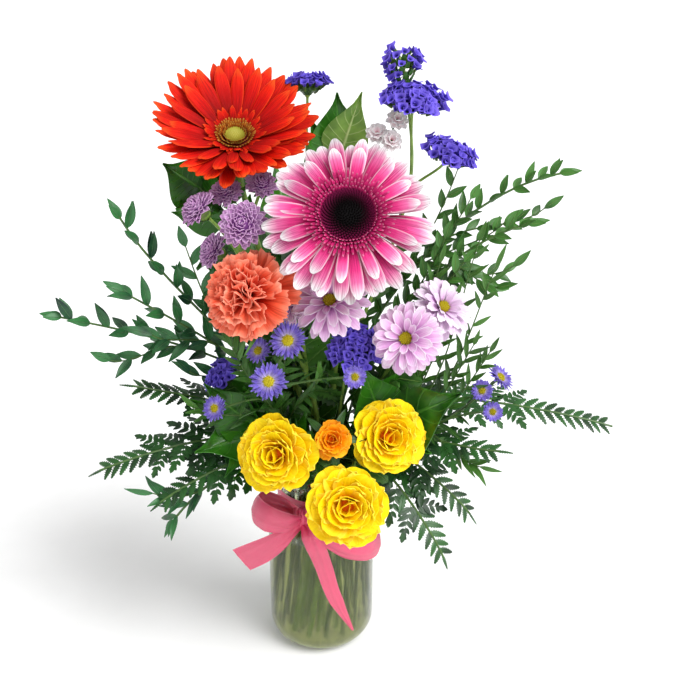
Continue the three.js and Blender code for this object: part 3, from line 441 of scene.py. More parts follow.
# %% Petal shapes
blade_shape("ray", 8.8, 44, [0.28, 0.42, 0.6, 0.78, 0.92, 1, 1.02, 0.98, 0.84],
            [-0.6, 0.3, -0.15, 0.4, -0.15, 0.3, -0.6], (-4.4, -1.2, 0.4, 0.5, 0.4, -1.2, -4.4), 0.35, 1)
blade_shape("pointed_ray", 8.8, 44, [0.26, 0.42, 0.62, 0.82, 0.96, 1.02, 0.98, 0.82, 0.5],
            [-0.9, 0.35, -0.2, 0.5, -0.2, 0.35, -0.9], (-3.2, -0.9, 0.5, 1.0, 0.5, -0.9, -3.2), 0.35, 1)
blade_shape("fringe", 2.0, 12, [0.6, 0.7, 0.8, 1, 0.35], [0.3, 0, 0.3], thick=0.35)
blade_shape("spoon", 4.6, 9, [0.5, 0.7, 0.92, 1, 0.96, 0.8, 0.4],
            [0.9, 0.25, 0, 0.25, 0.9], (-0.5, 0, 0.2, 0, -0.5))
blade_shape("daisy_petal", 5.6, 20, [0.34, 0.5, 0.72, 0.9, 1, 1.02, 1, 0.92, 0.66],
            [0.7, 0.1, 0, 0.1, 0.7], (-1.9, -0.1, 0.2, -0.1, -1.9))
TEETH = [0.7 * (-1) ** k * (0.4 + 0.9 * chance(k, 9)) for k in range(17)]
blade_shape("fan", 24, 26, [0.12, 0.18, 0.28, 0.42, 0.6, 0.78, 0.92, 1, 1], [0.0] * 17,
            [TEETH[k] - 0.05 * abs(k - 8) ** 2 for k in range(17)], 0.35)
blade_shape("rose_petal", 24, 24, [0.2, 0.42, 0.66, 0.84, 0.96, 1.02, 1.02, 0.94, 0.74],
            [3.6, 2.0, 0.8, 0.2, 0, 0.2, 0.8, 2.0, 3.6],
            (-3.4, -1.3, -0.1, 0.3, 0.1, 0.3, -0.1, -1.3, -3.4), 0.45)
blade_shape("aster_ray", 1.7, 9, [0.6, 0.9, 1, 0.3], [0.12, 0, 0.12], thick=0.25)

# %% [markdown]
# The leaves: a lobed leaflet of leatherleaf fern and the small pinnule of its larger leaflets, the
# slim pointed leaf of a eucalyptus, the broad leathery leaf of salal with its pointed tip, a narrow
# leaf for the asters, and a small bract.

# %% Leaf shapes
LOBES = [0.34, 0.62, 0.5, 0.96, 0.6, 1, 0.6, 0.94, 0.54, 0.8, 0.44, 0.62, 0.34, 0.4, 0.08]
blade_shape("leaflet", 12, 34, LOBES, [-0.5, 0.15, -0.1, 0.15, -0.5])
blade_shape("pinnule", 3.3, 9, [0.4, 0.9, 1, 0.86, 0.56, 0.08], [0.25, 0, 0.25], thick=0.25)
blade_shape("gum_leaf", 8, 20, [0.16, 0.6, 0.9, 1, 0.98, 0.86, 0.64, 0.36, 0.06],
            [0.6, 0.15, -0.1, 0.15, 0.6])
blade_shape("broad_leaf", 32, 50,
            [0.08, 0.5, 0.82, 0.98, 1, 0.95, 0.85, 0.7, 0.52, 0.34, 0.18, 0.08, 0.02],
            [2.2, 1.5, 0.9, 0.5, 0, 0.5, 0.9, 1.5, 2.2], thick=0.4)
blade_shape("narrow_leaf", 4.6, 24, [0.3, 0.8, 1, 0.95, 0.75, 0.45, 0.05], [0.35, 0, 0.35])
blade_shape("bract", 3.2, 9, [0.8, 1, 0.7, 0.1], [0.3, 0, 0.3])

# %% [markdown]
# Four more small shapes: a bar that stems are bent from, a bead for the buds of a disc, a mound that
# carries them, and the papery funnel of statice, which is a ring of ten points extruded three times
# and given five lobes.

# %% Bar, bead, mound and funnel
RINGS = 24


def bar_shape(name, sides):
    bar = started(bpy.ops.mesh.primitive_cylinder_add, vertices=sides, radius=MM, depth=MM,
                  location=(0, 0, MM / 2))
    bpy.ops.object.transform_apply(location=True)
    bpy.ops.object.mode_set(mode="EDIT")
    bpy.ops.mesh.select_mode(type="EDGE")
    net = bmesh.from_edit_mesh(bar.data)
    for edge in net.edges:
        edge.select = abs(edge.verts[0].co.z - edge.verts[1].co.z) > MM / 2
    bmesh.update_edit_mesh(bar.data)
    bpy.ops.mesh.subdivide(number_cuts=RINGS - 1)
    bpy.ops.mesh.select_mode(type="VERT")
    bpy.ops.object.mode_set(mode="OBJECT")
    keep_shape(name, bar)


def bead_shape():
    """A small ball drawn out at its top."""
    bead = started(bpy.ops.mesh.primitive_ico_sphere_add, subdivisions=1, radius=MM)
    bpy.ops.object.mode_set(mode="EDIT")
    pick(bead, lambda vertex: vertex.co.z > 0.8 * MM)
    moved(0, 0, 0.5)
    bpy.ops.object.mode_set(mode="OBJECT")
    keep_shape("bead", bead)


def mound_shape():
    """A ball with its lower half pressed flat."""
    mound = started(bpy.ops.mesh.primitive_uv_sphere_add, segments=24, ring_count=12, radius=MM)
    bpy.ops.object.mode_set(mode="EDIT")
    pick(mound, lambda vertex: vertex.co.z < -0.1 * MM)
    scaled(1, 1, 0.35)
    bpy.ops.object.mode_set(mode="OBJECT")
    keep_shape("mound", mound)


def funnel_shape():
    sides, near = 10, 1e-6
    funnel = started(bpy.ops.mesh.primitive_circle_add, vertices=sides, radius=0.5 * MM, fill_type="NOTHING")
    top = 0.0
    bpy.ops.object.mode_set(mode="EDIT")
    for rise, widen in ((3.2, 1.7), (2.2, 2.3), (0.7, 1.9)):
        pick(funnel, lambda vertex: abs(vertex.co.z - top) < near)
        bpy.ops.mesh.extrude_edges_move(TRANSFORM_OT_translate={"value": (0, 0, rise * MM)})
        scaled(widen, widen, 1)
        top = max(vertex.co.z for vertex in bmesh.from_edit_mesh(funnel.data).verts)
    corner = math.radians(360 / sides)
    pick(funnel, lambda vertex: vertex.co.z > top - near
         and round(math.atan2(vertex.co.y, vertex.co.x) / corner) % 2 == 0)
    scaled(0.72, 0.72, 1)
    moved(0, 0, -0.5)
    bpy.ops.mesh.select_all(action="SELECT")
    bpy.ops.mesh.normals_make_consistent(inside=False)
    bpy.ops.object.mode_set(mode="OBJECT")
    heights = [vertex.co.z / top for vertex in funnel.data.vertices]
    funnel.data.attributes.new("along", "FLOAT", "POINT").data.foreach_set("value", heights)
    thicken(funnel, 0.25, -1)
    keep_shape("funnel", funnel)


bar_shape("bar", 12)
bar_shape("twig", 6)
bead_shape()
mound_shape()
funnel_shape()

# %% [markdown]
# A copy is laid by bending it along an arc that starts at its root: it climbs by `rise`, from root
# to tip, turns by `twist`, and folds along its middle. Points at 0, 0.5 and 1 of the length stay
# that far along the arc, so a bent petal is as long as a flat one.

# %% Lay a blade, bend a bar
ARC_STEPS = 24


def laid(shape, root, out, up, length, half, rise=(0, 0), bend=0.0, twist=0.0, fold=0.0,
         ruffle=(0, 0, 0)):
    """Points of a copy: its tip goes `out`, its face looks `up`, and `half` is its half width."""
    points = shape["points"]
    wide = 2 * half / shape["size"][0]
    share = points[:, 1] / shape["size"][1]
    x, z = points[:, 0] * wide, points[:, 2] * min(wide, 1.6)
    waves, height, phase = ruffle
    z = z + fold * np.abs(x)
    if waves:
        z = z + height * np.sin(shape["across"] * waves * math.pi + phase) * np.clip(share, 0, 1) ** 2
    steps = np.linspace(0, 1, ARC_STEPS + 1)
    angles = rise[0] + (rise[1] - rise[0]) * steps + bend * np.minimum(1, 2 * steps + 0.3)
    middles = (angles[1:] + angles[:-1]) / 2
    forward = np.concatenate([[0], np.cumsum(np.cos(middles))]) * length / ARC_STEPS
    climb = np.concatenate([[0], np.cumsum(np.sin(middles))]) * length / ARC_STEPS
    now = np.interp(share, steps, angles)
    forward, climb = np.interp(share, steps, forward), np.interp(share, steps, climb)
    side = unit(np.cross(out, up))
    lift = unit(np.cross(side, out))
    turn = twist * share
    faces = np.outer(np.cos(now), lift) - np.outer(np.sin(now), out)
    sides = np.outer(np.cos(turn), side) - faces * np.sin(turn)[:, None]
    faces = faces * np.cos(turn)[:, None] + np.outer(np.sin(turn), side)
    ways = np.outer(forward, out) + np.outer(climb, lift)
    return np.asarray(root) + ways + sides * x[:, None] + faces * z[:, None]


def swept(shape, path, radii):
    """A bar along a path of RINGS + 1 points."""
    path = np.asarray(path, float)
    headings = np.gradient(path, axis=0)
    headings /= np.linalg.norm(headings, axis=1)[:, None]
    side = unit(np.cross(headings[0], (0.31, 0.17, 0.94) if abs(headings[0][2]) < 0.9 else (1, 0.1, 0)))
    sides = []
    for heading in headings:
        side = unit(side - heading * np.dot(side, heading))
        sides.append(side)
    sides = np.array(sides)
    fronts = np.cross(headings, sides)
    points = shape["points"]
    ring = np.clip(np.round(points[:, 2] * RINGS).astype(int), 0, RINGS)
    radii = np.interp(ring, np.linspace(0, RINGS, len(radii)), radii)
    x, y = points[:, 0] * radii, points[:, 1] * radii
    return path[ring] + sides[ring] * x[:, None] + fronts[ring] * y[:, None]


def turned_to(heading):
    """The shortest turn from +Z to a heading, as rows of a matrix."""
    turn = Vector((0, 0, 1)).rotation_difference(Vector(heading).normalized())
    return np.array(turn.to_matrix())


# %% [markdown]
# Low on a frond, a leaflet is itself a little frond: pairs of pinnules on a fine rib, slanting
# forwards and shortening to the tip. It is put together flat and then counts as one shape.

# %% Put a fern pinna together
def joined_shape(name, parts, size):
    """One shape from parts of (shape name, points)."""
    kinds = [SHAPES[kind] for kind, _ in parts]
    shifts = np.cumsum([0] + [len(points) for _, points in parts])
    used = np.cumsum([0] + [len(kind["corners"]) for kind in kinds])
    SHAPES[name] = {
        "points": np.concatenate([points for _, points in parts]),
        "corners": np.concatenate([kind["corners"] + shift for kind, shift in zip(kinds, shifts)]),
        "starts": np.concatenate([kind["starts"] + shift for kind, shift in zip(kinds, used)]),
        "across": np.concatenate([kind["across"] for kind in kinds]),
        "along": np.concatenate([kind["along"] for kind in kinds]),
        "size": np.array(size, float),
    }
    print(f"{name}: {len(SHAPES[name]['starts'])} faces")


def pinna_parts(pairs, length, wide):
    rib = np.linspace((0, 0, 0), (0, length * 0.96, 0), RINGS + 1)
    parts = [("twig", swept(SHAPES["twig"], rib, [0.32, 0.2]))]
    for k in range(pairs):
        share = 0.04 + 0.88 * (k + 0.4) / pairs
        slant = math.radians(44 + 6 * share)
        for sign in (-1, 1):
            out = np.array([sign * math.sin(slant), math.cos(slant), 0])
            root = (0, length * (share + (0.03 if sign > 0 else 0)), 0)
            long = wide * (1.12 - 0.98 * share) * (1 + spread(k, 3 + sign, 0.1))
            points = laid(SHAPES["pinnule"], root, out, (0, 0, 1), long, 2.9 - 1.6 * share, (0.0, -0.2))
            parts.append(("pinnule", points))
    tip = laid(SHAPES["pinnule"], (0, length * 0.72, 0), (0, 1, 0), (0, 0, 1), length * 0.3, 2.6)
    return parts + [("pinnule", tip)]


joined_shape("pinna", pinna_parts(5, 36, 13), (18, 36, 1))

# %% [markdown]
# A petal may not run through its neighbours. Before a copy is laid, a coarse net of it is tried
# against the imported solids of all other plants, and it is bent up or down until nothing is in its
# way. Where no bend helps, it is left out.

# %% Room between the plants
SOLIDS = {}
for name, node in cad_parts.items():
    co = np.zeros(len(node.data.vertices) * 3)
    node.data.vertices.foreach_get("co", co)
    node.data.calc_loop_triangles()
    tris = np.zeros(len(node.data.loop_triangles) * 3, int)
    node.data.loop_triangles.foreach_get("vertices", tris)
    SOLIDS[name] = (co.reshape(-1, 3) / MM, tris.reshape(-1, 3))


def room_round(*owners):
    """The solids of every plant but these, as one tree to test against."""
    points, faces, shift = [], [], 0
    for name, (co, tris) in SOLIDS.items():
        if name not in owners:
            points.append(co)
            faces.append(tris + shift)
            shift += len(co)
    return BVHTree.FromPolygons(np.concatenate(points).tolist(), np.concatenate(faces).tolist())


NET = np.array([(x, y, 0.0) for y in (0.12, 0.4, 0.7, 0.98) for x in (-0.36, 0.0, 0.36)])
PROBE = {"points": NET, "size": np.array([1.0, 1.0, 0.0]), "across": NET[:, 0] * 2}
NET_LINES = [(i, i + 3) for i in range(9)] + [(i, i + 1) for i in (3, 4, 6, 7)]


def is_free(room, net):
    for first, second in NET_LINES:
        start = Vector(net[first])
        way = Vector(net[second]) - start
        if room.ray_cast(start, way.normalized(), way.length)[0] is not None:
            return False
    return True


LOWEST, HIGHEST = (np.array(corner) / MM for corner in CAD_BOX)


def inside_box(points):
    return (points >= LOWEST).all() and (points <= HIGHEST).all()


print("solids to steer clear of:", len(SOLIDS))

# %% [markdown]
# A `Pile` collects the copies of one piece, each with its finish and tint, and makes one mesh of
# them at the end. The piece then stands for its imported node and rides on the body.

# %% Pile of copies
def hand_over(piece, slot, node):
    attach(piece, "root")
    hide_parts(node)


class Pile:
    """The copies of one piece, with the free room round it, if its copies have to look for any."""

    def __init__(self, room=None):
        self.room, self.copies = room, []

    def add(self, shape, points, finish, tint=0.5):
        self.copies.append((SHAPES[shape], points, finish, tint))

    def seat(self, shape, place, heading, scale, finish, tint=0.5):
        """Sets a small solid at a place, its top towards the heading."""
        points = (SHAPES[shape]["points"] * np.asarray(scale)) @ turned_to(heading).T + np.asarray(place)
        self.add(shape, points, finish, tint)

    def sweep(self, shape, path, radii, finish, tint=0.5):
        self.add(shape, swept(SHAPES[shape], path, radii), finish, tint)

    def grow(self, shape, finish, tint=0.5, **form):
        """Lays a copy at the first bend that is clear and in the box; says whether one was."""
        for bend in BENDS:
            if is_free(self.room, laid(PROBE, bend=bend, **form)):
                points = laid(SHAPES[shape], bend=bend, **form)
                if inside_box(points):
                    self.add(shape, points, finish, tint)
                    return True
        return False

    def make(self, name, slot, node):
        sizes = [len(points) for _, points, _, _ in self.copies]
        shifts = np.concatenate([[0], np.cumsum(sizes)])
        starts, corners, numbers, finishes = [], [], [], []
        used = 0
        for (shape, _, finish, _), shift in zip(self.copies, shifts):
            if finish not in finishes:
                finishes.append(finish)
            starts.append(shape["starts"] + used)
            corners.append(shape["corners"] + shift)
            numbers.append(np.full(len(shape["starts"]), finishes.index(finish)))
            used += len(shape["corners"])
        corners, starts = np.concatenate(corners), np.concatenate(starts)
        mesh = bpy.data.meshes.new(name)
        mesh.vertices.add(int(shifts[-1]))
        mesh.loops.add(len(corners))
        mesh.polygons.add(len(starts))
        mesh.vertices.foreach_set("co", np.concatenate([c[1] for c in self.copies]).ravel() * MM)
        mesh.loops.foreach_set("vertex_index", corners)
        mesh.polygons.foreach_set("loop_start", starts)
        mesh.polygons.foreach_set("material_index", np.concatenate(numbers))
        mesh.polygons.foreach_set("use_smooth", np.ones(len(starts), bool))
        mesh.update(calc_edges=True)
        mesh.set_sharp_from_angle(angle=math.radians(55))
        tints = [np.full(size, copy[3]) for size, copy in zip(sizes, self.copies)]
        values = {key: [copy[0][key] for copy in self.copies] for key in ("across", "along")}
        for key, arrays in {**values, "tint": tints}.items():
            mesh.attributes.new(key, "FLOAT", "POINT").data.foreach_set("value", np.concatenate(arrays))
        for finish in finishes:
            mesh.materials.append(finish)
        piece = bpy.data.objects.new(name, mesh)
        bpy.context.scene.collection.objects.link(piece)
        hand_over(piece, slot, node)
        print(f"{name}: {len(self.copies)} copies, {len(corners)} corners")
        return piece


# %% [markdown]
# The planting plan, in millimetres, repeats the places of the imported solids: each bloom's middle,
# the way it faces and its radius, then each stem's end. A stem's place in the neck follows from how
# far it leans out, so the stems spiral through the neck without crossing, as in a hand-tied posy.

# %% Planting plan
BLOOMS = {  # name: (middle, faces, radius)
    "gerbera_red": ((-52, -6, 389.5), (0.07, -0.6, 0.8), 54),
    "gerbera_pink": ((18.7, -75, 351), (0, -0.81, 0.59), 50),
    "carnation": ((-42.5, -82, 306), (-0.4, -0.75, 0.5), 27),
    "pompon_left": ((-73, -40, 347), (-0.6, -0.4, 0.7), 13),
    "pompon_front": ((-43, -63, 343), (-0.1, -0.85, 0.5), 15),
    "pompon_right": ((-35, -20, 358), (0.2, -0.6, 0.75), 11),
    "pompon_back": ((-57, -25, 354), (-0.1, -0.6, 0.8), 11),
    "pompon_low": ((-64.5, -45, 322), (-0.7, -0.5, 0.5), 12),
    "daisy_middle": ((8, -70, 298), (-0.1, -0.65, 0.75), 25),
    "daisy_left": ((-17, -42, 288), (-0.4, -0.6, 0.7), 17),
    "daisy_right": ((54, -74, 275), (-0.3, -0.85, 0.42), 23),
    "daisy_pale": ((81, -34, 281), (0.4, -0.6, 0.69), 22),
    "statice_top": ((53.6, 10, 434), (-0.1, -0.2, 0.97), 11),
    "statice_high": ((61, 0, 407), (0.1, -0.45, 0.89), 21),
    "statice_right": ((84, -5, 374), (0.3, -0.4, 0.87), 16),
    "statice_back": ((-7, 25, 414), (0, 0.1, 0.99), 12),
    "statice_middle": ((25, -55, 261), (0, -0.8, 0.6), 18),
    "rose_left": ((-25.6, -78, 198), (-0.25, -0.9, 0.36), 26),
    "rose_small": ((9.2, -80, 209), (0, -0.85, 0.53), 12.5),
    "rose_right": ((45, -65, 202.5), (0.25, -0.85, 0.46), 25.5),
    "rose_low": ((18.5, -95, 170.5), (0.05, -0.93, 0.36), 26.5),
}
ASTERS = {
    "aster_left": [
        ((-16.6, -85, 278), (-0.2, -0.8, 0.55), 11.5),
        ((-28, -95, 256), (0, -0.9, 0.45), 11),
        ((-35.6, -72, 266), (-0.4, -0.7, 0.6), 8.5),
        ((-63, -80, 231), (-0.4, -0.8, 0.45), 8),
        ((23, -95, 259), (0, -0.9, 0.4), 7),
    ],
    "aster_right": [
        ((108.5, -40, 224), (-0.2, -0.8, 0.55), 7.5),
        ((122, -30, 229), (0.6, -0.3, 0.74), 10),
        ((115, -47, 212), (0.1, -0.9, 0.4), 7),
    ],
}
STEMS = {  # name: (bloom it carries, or fork and heading; radius; least rise if not the usual)
    "stem_gerbera_red": ("gerbera_red", None, 2.6),
    "stem_gerbera_pink": ("gerbera_pink", None, 2.6),
    "stem_carnation": ("carnation", None, 1.9),
    "stem_pompon": ((-48, -22, 305), (-0.3, -0.2, 0.93), 1.7),
    "stem_daisy_left": ((-10, -34, 262), (0, -0.3, 0.95), 1.8),
    "stem_daisy_right": ((52, -26, 245), (0.3, -0.2, 0.93), 1.8),
    "stem_statice_right": ((60, 12, 345), (0.2, 0, 0.98), 1.5),
    "stem_statice_back": ((-8, 27, 380), (0, 0, 1), 1.4),
    "stem_statice_middle": ((18, -36, 235), (0.1, -0.4, 0.91), 1.4),
    "statice_left": ((-63, -40, 236), (-0.6, -0.3, 0.74), 1.4),
    "aster_left": ((-34, -56, 225), (-0.3, -0.5, 0.81), 1.1),
    "aster_right": ((86, -32, 198), (0.8, -0.2, 0.57), 1.1),
    "stem_rose_left": ((-12, -42, 176), (-0.2, -0.6, 0.77), 2),
    "stem_rose_right": ((24, -40, 172), (0.2, -0.6, 0.77), 2),
    "fern_left": ((-145, -60, 175), (-0.9, -0.2, -0.3), 1.1, 52),
    "fern_left_high": ((-126, -30, 223), (-0.9, -0.1, 0.25), 1.1),
    "fern_left_low": ((-104, -70, 157), (-0.8, -0.3, -0.5), 1.1, 52),
    "fern_right_low": ((86, -60, 106), (0.4, -0.2, -0.9), 1.1, 52),
    "fern_right": ((106, -40, 128), (0.6, -0.1, -0.8), 1.1, 52),
    "fern_right_high": ((121.5, -50, 184), (0.9, -0.2, 0.1), 1.1, 52),
    "fern_right_long": ((205, -20, 187), (0.95, 0, -0.3), 1.1),
    "fern_back": ((15, 120, 290), (0.1, 0.8, 0.5), 1.1),
    "eucalyptus_left_high": ((-127, -20, 338), (-0.45, 0, 0.9), 1.1),
    "eucalyptus_left": ((-128, -30, 291), (-0.8, 0, 0.5), 1.1),
    "eucalyptus_left_long": ((-174, -20, 269), (-0.9, 0, 0.2), 1.1),
    "eucalyptus_left_low": ((-100, -60, 134), (-0.5, -0.2, -0.8), 1.1, 52),
    "eucalyptus_right": ((162, 10, 359), (0.95, 0, 0.15), 1.1),
    "eucalyptus_right_low": ((139, -10, 330), (0.9, 0, 0.2), 1.1),
    "salal_left_high": ((-82, 12, 352), (-0.6, -0.2, 0.75), 1.5),
    "salal_top": ((14, 18, 372), (0.1, -0.1, 0.98), 1.5),
    "salal_right": ((44, -34, 194), (0.6, -0.5, 0.6), 1.5),
    "salal_left": ((-48, -42, 198), (-0.6, -0.6, 0.2), 1.5),
    "salal_back": ((-25, 85, 300), (-0.2, 0.5, 0.84), 1.5),
    "filler": ((40, 4, 362), (0.2, -0.1, 0.97), 0.9),
}
CARRIES = {
    "stem_pompon": ["pompon_left", "pompon_front", "pompon_right", "pompon_back", "pompon_low"],
    "stem_daisy_left": ["daisy_middle", "daisy_left"],
    "stem_daisy_right": ["daisy_right", "daisy_pale"],
    "stem_statice_right": ["statice_top", "statice_high", "statice_right"],
    "stem_statice_back": ["statice_back"],
    "stem_statice_middle": ["statice_middle"],
    "stem_rose_left": ["rose_left", "rose_small"],
    "stem_rose_right": ["rose_right", "rose_low"],
}
BROAD_LEAVES = {  # plant: (share of the stem, tip, half width, finish if not the usual)
    "salal_left": [
        (0.72, (-80, -66, 192), 17),
        (0.9, (-76, -50, 240), 15),
        (0.5, (-60, -62, 156), 11),
        (0.6, (-96, -28, 214), 15),
        (0.97, (-42, -34, 248), 15),
    ],
    "salal_right": [
        (0.86, (92, -60, 231), 23),
        (0.62, (74, -60, 188), 16),
        (0.97, (22, -44, 250), 16),
        (0.9, (66, -30, 246), 17),
    ],
    "salal_left_high": [
        (0.97, (-100, 0, 367), 15),
        (0.9, (-92, -8, 338), 15),
        (0.94, (-42, 30, 356), 15),
        (0.74, (-80, -14, 300), 15),
        (0.6, (-72, 6, 258), 16),
    ],
    "salal_top": [
        (0.97, (28, 5, 411), 12, YOUNG),
        (0.96, (12, 20, 409), 15),
        (0.88, (-8, 24, 392), 15),
        (0.76, (48, 8, 350), 15),
        (0.56, (-8, -18, 300), 17),
    ],
    "salal_back": [
        (0.97, (-36, 108, 348), 15),
        (0.9, (-74, 92, 318), 16),
        (0.84, (26, 102, 322), 16),
        (0.7, (-64, 84, 256), 17),
        (0.6, (30, 88, 248), 17),
        (0.42, (-6, 96, 206), 16),
    ],
}

# %% Where the stems run
NECK_Z, FOOT_Z = 140, 11
NECK_TWIST = math.radians(38)
LEAST_RISE = 30
NECK_RINGS = [(1, 0, 0), (7, 8.6, 10.5), (11, 15.6, 18.5), (15, 23, 26.5)]
# How far behind its middle a bloom ends: in mm, but as a share of the radius for pompons and roses.
BACKS = {"gerbera": 4, "carnation": 12.9, "pompon": 6 / 11, "daisy": 3.4, "statice": 3.4, "rose": 7.8 / 26}


def around(angle, radius=1.0, z=0.0):
    """A place on a circle round the Z axis."""
    return np.array([radius * math.cos(angle), radius * math.sin(angle), z])


def bezier(points, share):
    a, b, c, d = (np.asarray(point, float) for point in points)
    t = np.atleast_1d(share)[:, None]
    return a * (1 - t) ** 3 + 3 * b * t * (1 - t) ** 2 + 3 * c * t * t * (1 - t) + d * t**3


def bloom(name):
    """A bloom's middle, the way it faces and its radius."""
    at, faces, radius = BLOOMS[name]
    return np.array(at, float), unit(faces), radius


def bloom_end(name):
    """Where the stem ends behind a bloom, and its heading there."""
    at, faces, radius = bloom(name)
    kind = name.split("_")[0]
    back = BACKS[kind] * (radius if kind in ("pompon", "rose") else 1) + 0.3
    return at - faces * back, faces


def stem_end(name):
    fork, heading = STEMS[name][:2]
    return bloom_end(fork) if heading is None else (np.array(fork, float), unit(heading))


def neck_places():
    lean = {}
    for name in STEMS:
        (x, y, z), _ = stem_end(name)
        lean[name] = (math.atan2(math.hypot(x, y), z - NECK_Z), math.atan2(y, x))
    order = sorted(STEMS, key=lambda name: lean[name][0])
    places, used = {}, 0
    for count, radius, foot_radius in NECK_RINGS:
        ring = sorted(order[used : used + count], key=lambda name: lean[name][1])
        used += count
        pitch = 2 * math.pi / len(ring)
        first = sum(lean[name][1] - k * pitch for k, name in enumerate(ring)) / len(ring)
        for k, name in enumerate(ring):
            places[name] = (first + k * pitch, radius, foot_radius)
    return places


def plan_stems():
    places, stems = neck_places(), {}
    for index, (name, (_, _, radius, *rise)) in enumerate(STEMS.items()):
        angle, neck_radius, foot_radius = places[name]
        foot = around(angle - NECK_TWIST, foot_radius, FOOT_Z + 5 * chance(index, 1))
        neck = around(angle, neck_radius, NECK_Z)
        end, heading = stem_end(name)
        reach = np.linalg.norm(end - neck)
        climb = max(reach * 0.36, rise[0] if rise else LEAST_RISE)
        bend = (neck, neck + unit(neck - foot) * climb, end - heading * reach * 0.3, end)
        length = np.linalg.norm(np.diff(bezier(bend, np.linspace(0, 1, 60)), axis=0), axis=1).sum()
        stems[name] = {"name": name, "foot": foot, "bend": bend, "end": end, "heading": heading,
                       "radius": radius, "length": length, "salt": 70 + index * 3}
    return stems


Station = namedtuple("Station", "at heading side face")


def station(stem, share):
    """A place on a stem, a share of the way along its bend, and how the stem lies there."""
    at, ahead = bezier(stem["bend"], [share, min(share + 0.01, 1.01)])
    heading = unit(ahead - at)
    side = unit(np.cross(heading, (0, 0, 1)))
    return Station(at, heading, side, unit(np.cross(side, heading)))


def rolled(here, degrees):
    """The same station with its face tipped towards the front of the bouquet."""
    roll = math.radians(degrees) * (-1 if here.side[1] > 0 else 1)
    tipped = here.face * math.cos(roll) + here.side * math.sin(roll)
    return Station(here.at, here.heading, np.cross(here.heading, tipped), tipped)


def other_side(k):
    """Leaves stand alternately: -1, 1, -1 and so on."""
    return 1 if k % 2 else -1


def outward(here, sign, open_degrees, roll_degrees):
    """The way a leaf opens from its stem, to one side and rolled round the stem."""
    tilt, roll = math.radians(open_degrees), math.radians(roll_degrees)
    flat = here.side * sign * math.cos(roll) + here.face * math.sin(roll)
    return here.heading * math.cos(tilt) + flat * math.sin(tilt)


PLANTS = plan_stems()
print("stems", len(PLANTS), "longest", round(max(stem["length"] for stem in PLANTS.values())), "mm")

# %% [markdown]
# A stem is one bar: straight through the water and the neck, then along its curve to the bloom,
# thinning a little on the way. Side branches leave the fork one below the other. A bloom sits in
# its own green: bracts under a gerbera, a toothed tube under a carnation, a small cup elsewhere.

# %% Stems, branches and cups
CUPS = {"pompon": (4, 3.5), "daisy": (5, 4), "statice": (3.2, 5), "rose": (7, 7)}


STRAIGHT = 8  # how many of a bar's rings lie below the neck


def add_stem(pile, stem, finish=STEM, bar="bar"):
    straight = np.linspace(0, 1, STRAIGHT, endpoint=False)[:, None]
    down = stem["foot"] + (stem["bend"][0] - stem["foot"]) * straight
    path = np.concatenate([down, bezier(stem["bend"], np.linspace(0, 1, RINGS + 1 - STRAIGHT))])
    radius = stem["radius"]
    pile.sweep(bar, path, [radius, radius, radius * 0.9, radius * 0.7], finish, chance(stem["salt"], 2))


def add_branch(pile, stem, order, end, heading, radius, finish=STEM):
    reach = np.linalg.norm(end - stem["end"])
    start = stem["end"] - stem["heading"] * (stem["radius"] + 0.7 * order)
    curve = (start, start + stem["heading"] * reach * 0.35, end - heading * reach * 0.35, end)
    path = bezier(curve, np.linspace(0, 1, RINGS + 1))
    pile.sweep("twig", path, [radius, radius * 0.85], finish, chance(order, 4))
    return path


def ring_of(pile, shape, count, place, heading, z, root, length, half, rise, finish, salt,
            turn=8, vary=0.06, phase=0.0, fold=0.0):
    """Equal blades round an axis, each a little different; nothing here looks for room."""
    turning = turned_to(heading)
    for k in range(count):
        angle = 2 * math.pi * (k + phase + spread(k, salt, 0.12)) / count
        rises = [math.radians(value + spread(k, salt + 2, 3)) for value in rise]
        points = laid(SHAPES[shape], place + turning @ around(angle, root, z), turning @ around(angle),
                      heading, length * (1 + spread(k, salt + 1, vary)), half, rises,
                      twist=math.radians(spread(k, salt + 3, turn)), fold=fold)
        pile.add(shape, points, finish, chance(k, salt + 4))


RED_SINK = unit(BLOOMS["gerbera_red"][1]) * 7  # the red bowl's middle lies deeper than its rim
red_stem = PLANTS["stem_gerbera_red"]
red_stem["end"] = red_stem["end"] - RED_SINK
red_stem["bend"] = (*red_stem["bend"][:2], red_stem["bend"][2] - RED_SINK, red_stem["end"])


def add_cup(pile, name, end, heading):
    kind = name.split("_")[0]
    if kind == "gerbera":
        pile.seat("mound", end - heading * 4, -heading, (8.5, 8.5, 6), STEM, 0.4)
        for ring, (root, z, rise) in enumerate(((2.5, -9, 52), (5.5, -7, 38), (8.5, -4, 22))):
            ring_of(pile, "bract", 14, end, heading, z, root, 10, 1.7, (rise, rise - 14), GREEN, 50 + ring,
                    phase=ring / 2)
    elif kind == "carnation":
        path = end + heading * np.linspace(-18, 0, RINGS + 1)[:, None]
        pile.sweep("bar", path, [1.6, 3.6, 4.3, 4.6, 5, 5.6], STEM, 0.7)
        ring_of(pile, "bract", 5, end, heading, -3, 4.6, 9, 2.4, (74, 60), STEM, 54, fold=0.1)
    else:
        top, length = CUPS[kind]
        path = end + heading * np.linspace(-length, 0.6, RINGS + 1)[:, None]
        pile.sweep("bar", path, [1, top * 0.7, top * 0.92, top], STEM)
        if kind == "rose":
            ring_of(pile, "narrow_leaf", 5, end, heading, -2, 5.5, 17, 2.6, (12, -34), GREEN, 56, turn=24)
        else:
            ring_of(pile, "bract", 9, end, heading, -1.5, top * 0.7, top * 1.3, 1.1, (24, 8), GREEN, 58)


# %% [markdown]
# Leaves on the flower stems fill the heart of the bouquet. They stand alternately, a little lower
# than the blooms, and only where there is room for them.

